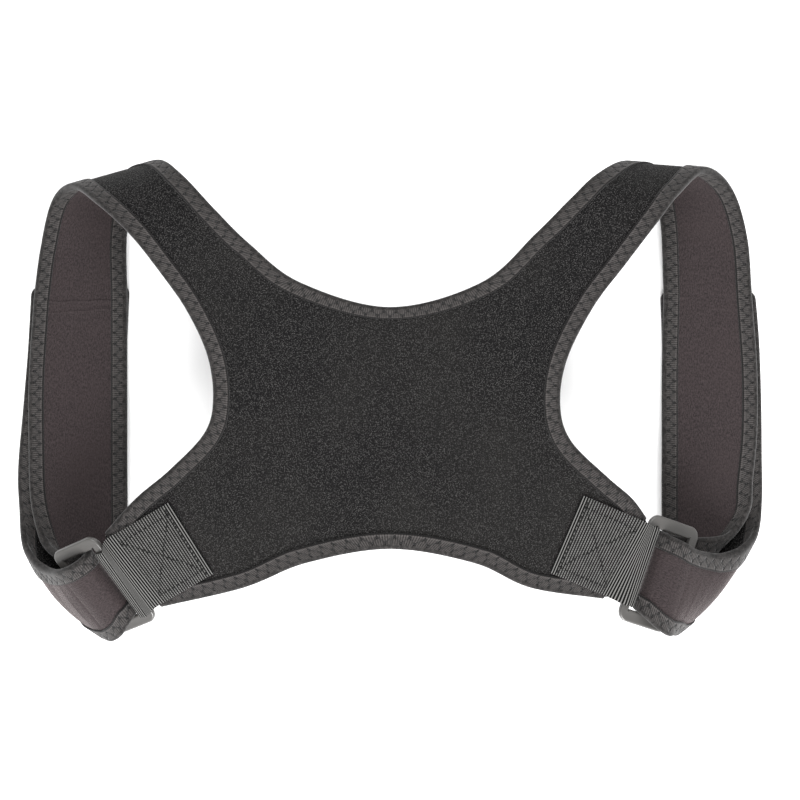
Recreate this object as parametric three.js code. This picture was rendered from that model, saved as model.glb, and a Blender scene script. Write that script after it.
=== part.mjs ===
import * as THREE from 'three';

// Posture corrector lying on a table, its back panel up. Millimetres, +Z up, +Y toward the neck.
// Each half is one long band: lower panel corner, armhole side, shoulder, front, under the arm,
// through the ring and back.

// Named sizes, mm
const REACH = 212; // half of the overall width
const RISE = 136; // half of the overall height
const LIFT = 55; // height of the panel's middle surface over the table
const CORE = 2.4; // padded fabric, face to face
const TAPE = 0.7; // binding tape
const GAP = 0.3; // air left between two neighbouring pieces
const FOLD_GAP = 0.42; // air left inside the binding's fold
const TAPE_WIDTH = 9.5; // how far the binding reaches in from the edge
const RING = { length: 62.5, width: 34, bar: 5.2, thick: 3.6, corner: 6, soft: 1.1 };
const WEBBING = { width: 48, thick: 1.3 };
const HOOK = { thick: 1.4, inset: 14 };

// Half the thickness of a bound edge, and the middle heights of the two strap layers on the table
const HALF = CORE / 2 + FOLD_GAP + TAPE;
const LOW = HALF;
const SECOND = LOW + 2 * HALF + GAP;

// The band's rows. Each gives the armhole edge (a) and the neck, centre or hem edge (b) as shares:
// out of REACH from the middle, up of RISE toward the neck, lift of the way from the strap layer on the
// table up to LIFT; then the number of cuts to the next row and, where the band bulges, how high as a
// share of LIFT.
const EDGE_COLUMNS = ['at', 'aOut', 'aUp', 'aLift', 'bOut', 'bUp', 'bLift', 'steps', 'crown'];
const named = (columns, rows) =>
  rows.map((r) => Object.fromEntries(r.map((value, k) => [columns[k], value])));

const PANEL_ROWS = {
  left: [
    ['corner', 0.771, -0.563, 0.988, 0.623, -0.875, 0.827, 2],
    ['tab', 0.684, -0.412, 0.988, 0.392, -0.787, 0.965, 2],
    ['flank', 0.594, -0.294, 1, 0.226, -0.684, 1, 3],
    ['hem', 0.5, -0.14, 1, 0, -0.625, 1, 3],
    ['waist', 0.476, 0, 1, 0, -0.125, 1, 3],
    ['neck', 0.491, 0.184, 1, 0, 0.39, 1, 3],
    ['yoke', 0.547, 0.375, 1, 0.241, 0.493, 1, 3],
    ['arm', 0.623, 0.544, 1, 0.377, 0.654, 1, 3],
    ['upper arm', 0.703, 0.699, 1, 0.469, 0.796, 1, 3],
    ['over', 0.797, 0.831, 0.862, 0.56, 0.946, 0.862, 3],
    ['crest', 0.877, 0.912, 0.494, 0.632, 1.022, 0.494, 5],
    ['under', 0.948, 0.868, 0.137, 0.703, 0.963, 0.137, 4],
    ['chest', 0.986, 0.662, 0.01, 0.741, 0.735, 0.01, 2],
    ['seam', 1.005, 0.441, 0, 0.741, 0.441, 0, 1],
  ],
  right: [
    ['corner', 0.694, -0.5, 0.931, 0.58, -0.838, 0.908, 2],
    ['tab', 0.651, -0.412, 0.988, 0.377, -0.787, 0.988, 2],
    ['flank', 0.58, -0.316, 1, 0.226, -0.684, 1, 3],
    ['hem', 0.486, -0.169, 1, 0, -0.625, 1, 3],
    ['waist', 0.458, -0.022, 1, 0, -0.125, 1, 3],
    ['neck', 0.476, 0.169, 1, 0, 0.39, 1, 3],
    ['yoke', 0.547, 0.39, 1, 0.245, 0.493, 1, 3],
    ['arm', 0.632, 0.566, 1, 0.392, 0.699, 1, 3],
    ['upper arm', 0.722, 0.75, 1, 0.486, 0.846, 1, 3],
    ['over', 0.783, 0.868, 0.862, 0.557, 0.949, 0.862, 3],
    ['crest', 0.873, 0.985, 0.494, 0.642, 1.015, 0.494, 5],
    ['under', 0.958, 0.919, 0.137, 0.722, 0.963, 0.137, 4],
    ['chest', 1.005, 0.713, 0.01, 0.759, 0.787, 0.01, 2],
    ['seam', 1.019, 0.441, 0, 0.769, 0.471, 0, 1],
  ],
};

// Ring of each side: its middle, the swing of its long side from straight down toward the body,
// the dip of that side's hem end and the tilt of its outer bar below its inner bar, degrees.
const RING_PLACE = {
  left: { out: 0.778, up: -0.79, lift: 0.735, swing: 35, dip: 19, tilt: 31 },
  right: { out: 0.73, up: -0.737, lift: 0.77, swing: 19, dip: -2, tilt: 22 },
};

// Webbing tab of each side: middle of its inner end on the panel, the swing of its long side there,
// where it crosses the panel's corner edge and its place along the ring, mm.
const WEBBING_PLACE = {
  left: { out: 0.534, up: -0.578, swing: 32, shareOfCorner: 0.52, along: 0.8 },
  right: { out: 0.474, up: -0.561, swing: 23, shareOfCorner: 0.5, along: -1 },
};

// The front strap from the chest seam down and round the side to the ring, in the edge columns
const FRONT_ROWS = {
  left: [
    ['seam', 1.005, 0.441, 0, 0.741, 0.441, 0, 1],
    ['chest', 1.019, 0.088, 0, 0.741, 0.088, 0, 1],
    ['rib', 1.019, -0.221, 0, 0.741, -0.243, 0, 2],
    ['side', 1.014, -0.419, 0.028, 0.741, -0.6, 0, 3],
    ['bend', 0.995, -0.544, 0.12, 0.752, -0.794, 0.039, 3],
    ['rise', 0.967, -0.618, 0.252, 0.767, -0.912, 0.091, 4],
    ['below bar', 0.92, -0.651, 0.425, 0.774, -0.96, 0.172, 3],
  ],
  right: [
    ['seam', 1.019, 0.441, 0, 0.769, 0.471, 0, 1],
    ['chest', 1.033, 0.132, 0, 0.764, 0.132, 0, 1],
    ['rib', 1.033, -0.14, 0, 0.764, -0.176, 0, 2],
    ['side', 1.02, -0.353, 0.028, 0.764, -0.53, 0.005, 3],
    ['bend', 1.009, -0.478, 0.12, 0.772, -0.75, 0.047, 3],
    ['rise', 0.958, -0.57, 0.236, 0.771, -0.882, 0.143, 3],
    ['below bar', 0.892, -0.592, 0.361, 0.76, -0.941, 0.298, 2],
  ],
};

// Rows round the ring's outer bar, in the ring's own directions: across from its middle outward as a share of
// its half width, over its flat as a share of RIDE, and the two edges along it as shares of its half length.
const RIDE = RING.thick / 2 + GAP + HALF;
const WRAP_COLUMNS = ['at', 'across', 'over', 'aAlong', 'bAlong', 'steps'];
const WRAP_ROWS = {
  left: [
    ['under bar', 0.647, -2.159, -0.784, 0.784, 2],
    ['into slot', 0.088, -1.705, -0.768, 0.768, 3],
    ['slot', -0.265, -0.341, -0.768, 0.768, 3],
    ['out of slot', -0.147, 1.182, -0.768, 0.8, 3],
    ['crest', 0.294, 1.932, -0.768, 0.928, 3],
    ['over bar', 0.824, 1.682, -0.768, 0.992, 2],
  ],
  right: [
    ['under bar', 0.647, -2.159, -0.784, 0.784, 2],
    ['into slot', 0.088, -1.705, -0.768, 0.768, 3],
    ['slot', -0.265, -0.341, -0.768, 0.768, 3],
    ['out of slot', -0.147, 1.182, -0.736, 0.832, 3],
    ['crest', 0.294, 1.932, -0.704, 0.96, 3],
    ['over bar', 0.824, 1.682, -0.656, 1.024, 2],
  ],
};

// The strap's end, folded back outside the front strap, in the edge columns
const RETURN_ROWS = {
  left: [
    ['off bar', 0.925, -0.721, 0.715, 0.781, -1.031, 0.402, 2, -0.05],
    ['fall', 0.95, -0.713, 0.583, 0.796, -1.027, 0.288, 3, -0.07],
    ['shoulder', 0.991, -0.679, 0.421, 0.811, -1.013, 0.196, 3, -0.1],
    ['outer bend', 1.03, -0.61, 0.217, 0.823, -0.978, 0.113, 3, -0.09],
    ['underneath', 1.048, -0.483, 0.045, 0.811, -0.88, 0.037, 3],
    ['flat', 1.054, -0.309, 0, 0.774, -0.53, 0, 1],
    ['rib', 1.04, -0.044, 0, 0.755, -0.132, 0, 1],
    ['chest', 1.026, 0.221, 0, 0.746, 0.212, 0, 1],
    ['end', 1.016, 0.499, 0, 0.738, 0.507, 0, 1],
  ],
  right: [
    ['off bar', 0.873, -0.651, 0.649, 0.771, -1.004, 0.64, 2, -0.05],
    ['fall', 0.92, -0.657, 0.545, 0.783, -1.011, 0.478, 3, -0.07],
    ['shoulder', 0.981, -0.629, 0.393, 0.8, -0.996, 0.307, 3, -0.1],
    ['outer bend', 1.031, -0.562, 0.19, 0.807, -0.934, 0.146, 3, -0.09],
    ['underneath', 1.05, -0.439, 0.04, 0.796, -0.793, 0.035, 3],
    ['flat', 1.051, -0.247, 0, 0.777, -0.456, 0, 1],
    ['rib', 1.049, 0.022, 0, 0.771, -0.074, 0, 1],
    ['chest', 1.043, 0.27, 0, 0.768, 0.257, 0, 1],
    ['end', 1.032, 0.481, 0, 0.763, 0.481, 0, 1],
  ],
};

const vec = (x, y, z) => new THREE.Vector3(x, y, z);
const rad = THREE.MathUtils.degToRad;

// A point of the smooth curve through p1 and p2, with p0 and p3 as its neighbours (Catmull-Rom).
function smooth(p0, p1, p2, p3, t) {
  const w = [
    (-t + 2 * t * t - t * t * t) / 2,
    (2 - 5 * t * t + 3 * t * t * t) / 2,
    (t + 4 * t * t - 3 * t * t * t) / 2,
    (-t * t + t * t * t) / 2,
  ];
  return vec(0, 0, 0)
    .addScaledVector(p0, w[0])
    .addScaledVector(p1, w[1])
    .addScaledVector(p2, w[2])
    .addScaledVector(p3, w[3]);
}

// Ends and sharp corners of an edge: the neighbour beyond is the point itself reflected.
const beyond = (p, q) => p.clone().multiplyScalar(2).sub(q);

// Cuts the rows to a list of edge pairs. breaks name rows where edge b turns sharply: it runs there
// on the middle line, where the neck or hem curve meets the other side's.
function cutRows(rows, breaks = []) {
  const pairs = [];
  const isBreak = (i) => breaks.includes(rows[i].at);
  const neighbour = (key, i, j, sharp) => {
    const p = rows[i][key];
    if (sharp && isBreak(i)) {
      const q = rows[2 * i - j][key];
      return q.x === 0 ? beyond(p, q) : vec(-q.x, q.y, q.z);
    }
    if (j < 0 || j >= rows.length) return beyond(p, rows[2 * i - j][key]);
    return rows[j][key];
  };
  for (let i = 0; i < rows.length - 1; i++) {
    const n = rows[i].steps;
    for (let k = 0; k < n; k++) {
      const t = k / n;
      const pair = {};
      for (const key of ['a', 'b']) {
        const sharp = key === 'b';
        const ends = [neighbour(key, i, i - 1, sharp), neighbour(key, i + 1, i + 2, sharp)];
        pair[key] = smooth(ends[0], rows[i][key], rows[i + 1][key], ends[1], t);
      }
      pair.crown = THREE.MathUtils.lerp(rows[i].crown || 0, rows[i + 1].crown || 0, t);
      pair.row = i + t;
      pairs.push(pair);
    }
  }
  const last = rows[rows.length - 1];
  pairs.push({ a: last.a.clone(), b: last.b.clone(), crown: last.crown || 0, row: rows.length - 1 });
  return pairs;
}

const placeRow = (low) => (r) => ({
  ...r,
  a: vec(r.aOut * REACH, r.aUp * RISE, low + r.aLift * (LIFT - low)),
  b: vec(r.bOut * REACH, r.bUp * RISE, low + r.bLift * (LIFT - low)),
  crown: (r.crown || 0) * LIFT,
});

// The ring's middle and its three directions: along (toward the hem), across (outward), over (up).
function ringFrame(side) {
  const r = RING_PLACE[side];
  const flat = vec(-Math.sin(rad(r.swing)), -Math.cos(rad(r.swing)), 0);
  const level = vec(Math.cos(rad(r.swing)), -Math.sin(rad(r.swing)), 0);
  const along = flat.clone().multiplyScalar(Math.cos(rad(r.dip))).add(vec(0, 0, -Math.sin(rad(r.dip))));
  const rise = along.clone().cross(level);
  const tilted = (k, m) => level.clone().multiplyScalar(k).addScaledVector(rise, m);
  const across = tilted(Math.cos(rad(r.tilt)), -Math.sin(rad(r.tilt)));
  const over = tilted(Math.sin(rad(r.tilt)), Math.cos(rad(r.tilt)));
  return { middle: vec(r.out * REACH, r.up * RISE, r.lift * LIFT), along, across, over };
}
const inRing = (f, along, across, over) =>
  f.middle.clone().addScaledVector(f.along, along).addScaledVector(f.across, across)
    .addScaledVector(f.over, over);

function strapRows(side) {
  const f = ringFrame(side);
  const wrap = named(WRAP_COLUMNS, WRAP_ROWS[side]).map((r) => {
    const at = (along) => inRing(f, (along * RING.length) / 2, (r.across * RING.width) / 2, r.over * RIDE);
    return { ...r, a: at(r.aAlong), b: at(r.bAlong), crown: 0 };
  });
  const front = named(EDGE_COLUMNS, FRONT_ROWS[side]).map(placeRow(SECOND));
  const back = named(EDGE_COLUMNS, RETURN_ROWS[side]).map(placeRow(LOW));
  return [...front, ...wrap, ...back];
}

// Directions at every cut: t along the band, n out of its outer face, into: into the band, scaled so
// that a move of 1 along it ends 1 mm in from the edge. It follows the row where the row crosses the
// edge steeply. bends name the rows where edge b meets the middle line: between them it runs inside
// the panel.
function edgeFrames(pairs, bends = []) {
  const turned = (p) => vec(-p.x, p.y, p.z);
  return pairs.map((p, i) => {
    const before = pairs[Math.max(i - 1, 0)];
    const after = pairs[Math.min(i + 1, pairs.length - 1)];
    const chord = p.b.clone().sub(p.a);
    const frame = {};
    for (const key of ['a', 'b']) {
      let t = after[key].clone().sub(before[key]);
      if (key === 'b' && p.row === bends[0]) t = turned(before.b).sub(before.b);
      if (key === 'b' && p.row === bends[1]) t = after.b.clone().sub(turned(after.b));
      t.normalize();
      const inside = key === 'b' && p.row > bends[0] && p.row < bends[1];
      const flat = key === 'b' && bends.length && p.row >= bends[0] && p.row <= bends[1];
      const n = flat ? vec(0, 0, 1) : t.clone().cross(chord).normalize();
      const square = n.clone().cross(t).normalize();
      if (square.dot(chord) * (key === 'a' ? 1 : -1) < 0) square.negate();
      const row = chord.clone().normalize().multiplyScalar(key === 'a' ? 1 : -1);
      const steep = bends.length ? THREE.MathUtils.smoothstep(row.dot(square), 0.5, 0.75) : 1;
      const into = square.clone().lerp(row, steep);
      into.divideScalar(into.dot(square));
      if (inside) into.set(0, 0, 0);
      frame[key] = { t, n, into };
    }
    return frame;
  });
}

// The outer-face direction at share v of a cut, and the crown's height there
const facing = (frame, v) => frame.a.n.clone().lerp(frame.b.n, v).normalize();
const bulge = (pair, v) => (pair.crown || 0) * 4 * v * (1 - v);

// Shares of the width at which a band is cut lengthwise; the outer cuts lie under the binding's inner edge.
const PANEL_SHARES = [0, 0.17, 0.34, 0.5, 0.66, 0.83, 1];
const STRAP_SHARES = [0, 0.18, 0.5, 0.82, 1];

// The band's middle surface as a grid of points and directions, its edges moved in to leave room
// for the binding and its first and last rows moved in by the lengths in cut.
function bandGrid(pairs, shares, mirror, inset, cut, bends = []) {
  const frames = edgeFrames(pairs, bends);
  const last = pairs.length - 1;
  return pairs.map((p, i) => {
    const f = frames[i];
    const chord = p.b.distanceTo(p.a);
    const a = p.a.clone().addScaledVector(f.a.into, inset);
    const b = p.b.clone().addScaledVector(f.b.into, inset);
    if (i === 0) [a, b].forEach((q, k) => q.addScaledVector(f[k ? 'b' : 'a'].t, cut[0]));
    if (i === last) [a, b].forEach((q, k) => q.addScaledVector(f[k ? 'b' : 'a'].t, -cut[1]));
    const ends = [(inset * f.a.into.length()) / chord, 1 - (inset * f.b.into.length()) / chord];
    return shares.map((share) => {
      const v = THREE.MathUtils.lerp(ends[0], ends[1], share);
      const n = facing(f, v);
      const q = a.clone().lerp(b, share).addScaledVector(n, bulge(p, v));
      return mirror ? { p: vec(-q.x, q.y, q.z), n: vec(-n.x, n.y, n.z) } : { p: q, n };
    });
  });
}

// One closed solid from grids that may share border points: both faces and the rims between them.
function thicken(grids, thickness, lift = 0) {
  const spots = [];
  const known = new Map();
  const indexOf = (spot) => {
    const key = [spot.p.x, spot.p.y, spot.p.z].map((c) => Math.round(c * 1e3)).join();
    if (!known.has(key)) {
      known.set(key, spots.length);
      spots.push(spot);
    }
    return known.get(key);
  };
  const tris = [];
  grids.forEach((rows, g) => {
    const idx = rows.map((row) => row.map(indexOf));
    for (let i = 0; i < idx.length - 1; i++) {
      for (let j = 0; j < idx[0].length - 1; j++) {
        const quad = [idx[i][j], idx[i + 1][j], idx[i + 1][j + 1], idx[i][j + 1]];
        for (const [a, b, c] of [[quad[0], quad[1], quad[2]], [quad[0], quad[2], quad[3]]]) {
          if (a !== b && b !== c && a !== c) tris.push(g === 0 && grids.length > 1 ? [a, c, b] : [a, b, c]);
        }
      }
    }
  });
  const shifted = (h) => spots.map(({ p, n }) => p.clone().addScaledVector(n, h));
  const all = [...shifted(lift + thickness / 2), ...shifted(lift - thickness / 2)];
  const n = spots.length;
  const faces = [...tris, ...tris.map(([a, b, c]) => [a + n, c + n, b + n])];
  const used = new Set();
  const edgesOf = ([a, b, c]) => [[a, b], [b, c], [c, a]];
  tris.forEach((tri) => edgesOf(tri).forEach(([p, q]) => used.add(p + '_' + q)));
  tris.forEach((tri) => edgesOf(tri).forEach(([p, q]) => {
    if (!used.has(q + '_' + p)) faces.push([q, p, p + n], [q, p + n, q + n]);
  }));
  return solidGeometry(all, faces);
}

function solidGeometry(points, faces) {
  const share = ([a, b, c]) => points[a].dot(points[b].clone().cross(points[c]));
  const volume = faces.reduce((sum, face) => sum + share(face), 0);
  const outward = volume < 0 ? faces.map(([a, b, c]) => [a, c, b]) : faces;
  const geometry = new THREE.BufferGeometry();
  const numbers = points.flatMap((p) => [p.x, p.y, p.z]);
  geometry.setAttribute('position', new THREE.Float32BufferAttribute(numbers, 3));
  geometry.setIndex(outward.flat());
  geometry.computeVertexNormals();
  return geometry;
}

// A solid swept through equal sections; outline is the section as flat points, for the two end caps.
function sweep(sections, outline, closed = false) {
  const m = outline.length;
  const count = sections.length;
  const faces = [];
  for (let i = 0; i < (closed ? count : count - 1); i++) {
    for (let j = 0; j < m; j++) {
      const k = (j + 1) % m;
      const next = ((i + 1) % count) * m;
      faces.push([i * m + j, i * m + k, next + k], [i * m + j, next + k, next + j]);
    }
  }
  if (!closed) {
    const flat = outline.map(([x, y]) => new THREE.Vector2(x, y));
    const turn = THREE.ShapeUtils.isClockWise(flat);
    THREE.ShapeUtils.triangulateShape(flat, []).forEach(([a, b, c]) => {
      const o = (count - 1) * m;
      faces.push(turn ? [a, b, c] : [c, b, a], turn ? [o + c, o + b, o + a] : [o + a, o + b, o + c]);
    });
  }
  return solidGeometry(sections.flat(), faces);
}

// Binding tape: a channel over the edge. First number in from the edge, second out of the middle surface.
const FOLD = 1.5 * TAPE;
const CHANNEL = [
  [TAPE_WIDTH, HALF], [FOLD, HALF], [0, 0], [FOLD, -HALF], [TAPE_WIDTH, -HALF],
  [TAPE_WIDTH, -HALF + TAPE], [FOLD, -HALF + TAPE], [FOLD, HALF - TAPE], [TAPE_WIDTH, HALF - TAPE],
];
const INSET = FOLD + FOLD_GAP;
const channel = (path) => sweep(path.map((place) => CHANNEL.map(([w, h]) => place.at(w, h))), CHANNEL);

// The places of one edge for a binding; at(w, h) is the point w in from the edge and h out of the middle
// surface. cut moves the first and last place in; corner turns the last one square.
function edgePath(pairs, key, mirror, options = {}) {
  const { bends = [], from = -1, to = 99, cut = [0, 0], corner = false } = options;
  const frames = edgeFrames(pairs, bends);
  const kept = pairs.map((p, i) => i).filter((i) => pairs[i].row >= from && pairs[i].row <= to);
  return kept.map((i, k) => {
    const p = pairs[i];
    const f = frames[i];
    const isLast = k === kept.length - 1;
    const move = k === 0 ? cut[0] : isLast ? -cut[1] : 0;
    const chord = p.b.distanceTo(p.a);
    const at = (w, h) => {
      const v = (w * f[key].into.length()) / chord;
      const share = key === 'a' ? v : 1 - v;
      const flatEdge = bends.length && key === 'b';
      const n = flatEdge && f.b.n.z > 0.999 ? f.b.n.clone() : facing(f, share);
      const q = p[key].clone().addScaledVector(f[key].into, w).addScaledVector(n, h + bulge(p, share));
      q.addScaledVector(f[key].t, move - (corner && isLast ? w : 0));
      return mirror ? vec(-q.x, q.y, q.z) : q;
    };
    return { at };
  });
}

const group = new THREE.Group();
group.name = 'posture_corrector';
const paint = {
  velour: new THREE.MeshStandardMaterial({ color: 0x333130, roughness: 0.95 }),
  lining: new THREE.MeshStandardMaterial({ color: 0x4a4040, roughness: 0.85 }),
  binding: new THREE.MeshStandardMaterial({ color: 0x45413f, roughness: 0.8 }),
  webbing: new THREE.MeshStandardMaterial({ color: 0x5f5e5c, roughness: 0.7 }),
  plastic: new THREE.MeshStandardMaterial({ color: 0x3c3a39, roughness: 0.4 }),
};
function add(name, geometry, material) {
  const mesh = new THREE.Mesh(geometry, material.clone());
  mesh.name = name;
  group.add(mesh);
}

const SIDES = ['left', 'right'];
const isLeft = (side) => side === 'left';
const BENDS = ['hem', 'neck'].map((at) => PANEL_ROWS.left.findIndex((r) => r[0] === at));
const panel = {};
const strap = {};
for (const side of SIDES) {
  panel[side] = cutRows(named(EDGE_COLUMNS, PANEL_ROWS[side]).map(placeRow(SECOND)), ['hem', 'neck']);
  strap[side] = cutRows(strapRows(side));
}

// Back panel with both shoulder arms, and its bindings
const panelGrids = SIDES.map((s) =>
  bandGrid(panel[s], PANEL_SHARES, isLeft(s), INSET, [0, GAP / 2], BENDS));
add('back_panel', thicken(panelGrids, CORE), paint.velour);
const neckHalf = (side) =>
  edgePath(panel[side], 'b', isLeft(side), { bends: BENDS, from: BENDS[1], cut: [0, GAP / 2] });
const hemHalf = (side) =>
  edgePath(panel[side], 'b', isLeft(side), { bends: BENDS, to: BENDS[0], cut: [1.5, 0] });
add('neck_binding', channel([...neckHalf('left').reverse(), ...neckHalf('right').slice(1)]), paint.binding);
add('hem_binding', channel([...hemHalf('left'), ...hemHalf('right').reverse().slice(1)]), paint.binding);

// A strap's binding runs down one edge, across the far end and back up the other
function strapBinding(side) {
  const [a, b] = ['a', 'b'].map((key) =>
    edgePath(strap[side], key, isLeft(side), { cut: [GAP / 2, 0], corner: true }));
  return channel([...a, ...b.reverse()]);
}

// Rounded rectangular frame with a rounded rectangular bar
function ringSolid(side) {
  const f = ringFrame(side);
  const bar = [];
  const w = RING.bar / 2;
  const h = RING.thick / 2;
  const corners = [[w - RING.soft, h - RING.soft], [-w + RING.soft, h - RING.soft],
    [-w + RING.soft, -h + RING.soft], [w - RING.soft, -h + RING.soft]];
  corners.forEach(([x, y], q) => {
    for (let k = 0; k < 2; k++) {
      const angle = rad(90 * q + 90 * k);
      bar.push([x + RING.soft * Math.cos(angle), y + RING.soft * Math.sin(angle)]);
    }
  });
  const r = RING.corner - w;
  const lx = RING.length / 2 - RING.corner;
  const ly = RING.width / 2 - RING.corner;
  const sections = [];
  [[lx, ly], [-lx, ly], [-lx, -ly], [lx, -ly]].forEach(([x, y], q) => {
    for (let k = 0; k <= 4; k++) {
      const angle = rad(90 * q + 22.5 * k);
      const out = [Math.cos(angle), Math.sin(angle)];
      sections.push(bar.map(([u, v]) => {
        const p = inRing(f, x + (r + u) * out[0], y + (r + u) * out[1], v);
        return isLeft(side) ? vec(-p.x, p.y, p.z) : p;
      }));
    }
  });
  return sweep(sections, bar, true);
}

// The same grid with a direction for every point, from its neighbours
function withDirections(rows, mirror) {
  return rows.map((row, i) => row.map((p, j) => {
    const along = rows[Math.min(i + 1, rows.length - 1)][j].clone().sub(rows[Math.max(i - 1, 0)][j]);
    const across = row[Math.min(j + 1, row.length - 1)].clone().sub(row[Math.max(j - 1, 0)]);
    const n = along.cross(across).normalize();
    return mirror ? { p: vec(-p.x, p.y, p.z), n: vec(-n.x, n.y, n.z) } : { p, n };
  }));
}

// Height of the panel's middle surface over a place in plan
function panelHeight(side, x, y) {
  const rows = bandGrid(panel[side].slice(0, 10), PANEL_SHARES, false, 0, [0, 0], BENDS);
  const flat = (q) => vec(q.p.x, q.p.y, 0);
  let best = null;
  rows.slice(0, -1).forEach((row, i) => row.slice(0, -1).forEach((_, j) => {
    const q = [row[j], rows[i + 1][j], rows[i + 1][j + 1], row[j + 1]];
    for (const [a, b, c] of [[q[0], q[1], q[2]], [q[0], q[2], q[3]]]) {
      const share = new THREE.Triangle(flat(a), flat(b), flat(c)).getBarycoord(vec(x, y, 0), vec(0, 0, 0));
      const least = share ? Math.min(share.x, share.y, share.z) : -9;
      if (!best || least > best.least) {
        best = { least, z: share ? a.p.z * share.x + b.p.z * share.y + c.p.z * share.z : 0 };
      }
    }
  }));
  return best.z;
}

// Webbing tab: along the panel's upper face, round the ring's inner bar and back along the lower face
function webbingGrid(side) {
  const f = ringFrame(side);
  const w = WEBBING_PLACE[side];
  const corner = panel[side][0];
  const inner = vec(w.out * REACH, w.up * RISE, 0);
  const turn = vec(-Math.sin(rad(w.swing)), -Math.cos(rad(w.swing)), 0);
  const end = corner.a.clone().lerp(corner.b, w.shareOfCorner).setZ(0);
  const endTurn = corner.b.clone().sub(corner.a).setZ(0).normalize();
  const over = HALF + 2 * GAP + WEBBING.thick / 2;
  const row = (middle, dir) => [-1, -0.5, 0, 0.5, 1].map((k) =>
    middle.clone().addScaledVector(dir, (k * WEBBING.width) / 2));
  const onPanel = (sign) => [0, 0.25, 0.5, 0.75, 1.02].map((t) =>
    row(inner.clone().lerp(end, t), turn.clone().lerp(endTurn, Math.min(t, 1)).normalize()).map((p) =>
      p.setZ(panelHeight(side, p.x, p.y) + sign * over)));
  const bar = -(RING.width - RING.bar) / 2;
  const radius = RING.thick / 2 + 1.6 * GAP + WEBBING.thick / 2;
  const centre = bar + RING.bar / 2 + 1.6 * GAP + WEBBING.thick / 2 - radius;
  const round = [90, 54, 18, -18, -54, -90].map((deg) => row(
    inRing(f, w.along, centre + radius * Math.cos(rad(deg)), radius * Math.sin(rad(deg))), f.along));
  const before = [1, -1].map((sign) =>
    row(inRing(f, w.along, bar - RING.bar / 2, sign * (radius + GAP)), f.along));
  const rows = [...onPanel(1), before[0], ...round, before[1], ...onPanel(-1).reverse()];
  return withDirections(rows, isLeft(side));
}

// Hook patch: on the return's velour near its end
function hookGrid(side) {
  const rows = strap[side].filter((p) => p.row >= strap[side][strap[side].length - 1].row - 2);
  const frames = edgeFrames(rows);
  const grid = rows.map((p, i) => {
    const a = p.a.clone().addScaledVector(frames[i].a.into, HOOK.inset);
    const b = p.b.clone().addScaledVector(frames[i].b.into, HOOK.inset);
    return [0, 0.5, 1].map((k) => a.clone().lerp(b, k));
  });
  const last = grid.length - 1;
  [[0, 1], [last, last - 1]].forEach(([i, j]) => grid[i].forEach((p, k) => {
    p.addScaledVector(grid[j][k].clone().sub(p).normalize(), HOOK.inset);
  }));
  return withDirections(grid, isLeft(side));
}

for (const side of SIDES) {
  const armhole = edgePath(panel[side], 'a', isLeft(side), { cut: [1.5, GAP / 2] });
  add('armhole_binding_' + side, channel(armhole), paint.binding);
  const front = bandGrid(strap[side], STRAP_SHARES, isLeft(side), INSET, [GAP / 2, INSET]);
  add('front_strap_' + side, thicken([front], CORE), paint.lining);
  add('strap_binding_' + side, strapBinding(side), paint.binding);
  add('ring_' + side, ringSolid(side), paint.plastic);
  add('webbing_' + side, thicken([webbingGrid(side)], WEBBING.thick), paint.webbing);
  const patch = thicken([hookGrid(side)], HOOK.thick, CORE / 2 + GAP + HOOK.thick / 2);
  add('hook_patch_' + side, patch, paint.webbing);
}

// The object stands on the table with its bounding box centred over the origin
const box = new THREE.Box3().setFromObject(group);
const middle = box.getCenter(vec(0, 0, 0));
group.children.forEach((m) => m.geometry.translate(-middle.x, -middle.y, -box.min.z));

export default group;
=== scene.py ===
# %% [markdown]
# # A posture corrector
# The real one is a back brace of padded fabric. It lies on a table with its back panel up. Two arms of the
# panel bend over the shoulders, run down the front as straps, turn round the sides, pass through a plastic
# ring on a webbing tab and fold back on themselves. Every edge is bound with tape.
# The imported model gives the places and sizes. This lesson lays a finer surface over each of its pieces.

import bpy
import numpy as np
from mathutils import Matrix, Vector


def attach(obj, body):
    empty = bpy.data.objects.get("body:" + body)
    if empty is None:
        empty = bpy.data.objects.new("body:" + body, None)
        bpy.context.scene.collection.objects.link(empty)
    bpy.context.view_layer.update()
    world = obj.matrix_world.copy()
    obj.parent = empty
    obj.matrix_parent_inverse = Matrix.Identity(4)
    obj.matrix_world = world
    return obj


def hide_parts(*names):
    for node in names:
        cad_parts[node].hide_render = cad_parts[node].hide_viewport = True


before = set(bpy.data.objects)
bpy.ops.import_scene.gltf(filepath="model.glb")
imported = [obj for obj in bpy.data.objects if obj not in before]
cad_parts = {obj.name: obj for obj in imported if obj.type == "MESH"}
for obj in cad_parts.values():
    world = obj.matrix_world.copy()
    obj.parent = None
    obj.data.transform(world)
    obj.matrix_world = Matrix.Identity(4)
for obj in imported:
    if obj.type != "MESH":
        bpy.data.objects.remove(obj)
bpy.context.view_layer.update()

# %% [markdown]
# ## Named sizes
# All lengths are in metres. The panel and the straps are one laminate of velour, foam and lining. A strap
# can lie on the table or on top of another layer, so the two heights come from the layer's thickness.

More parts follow.
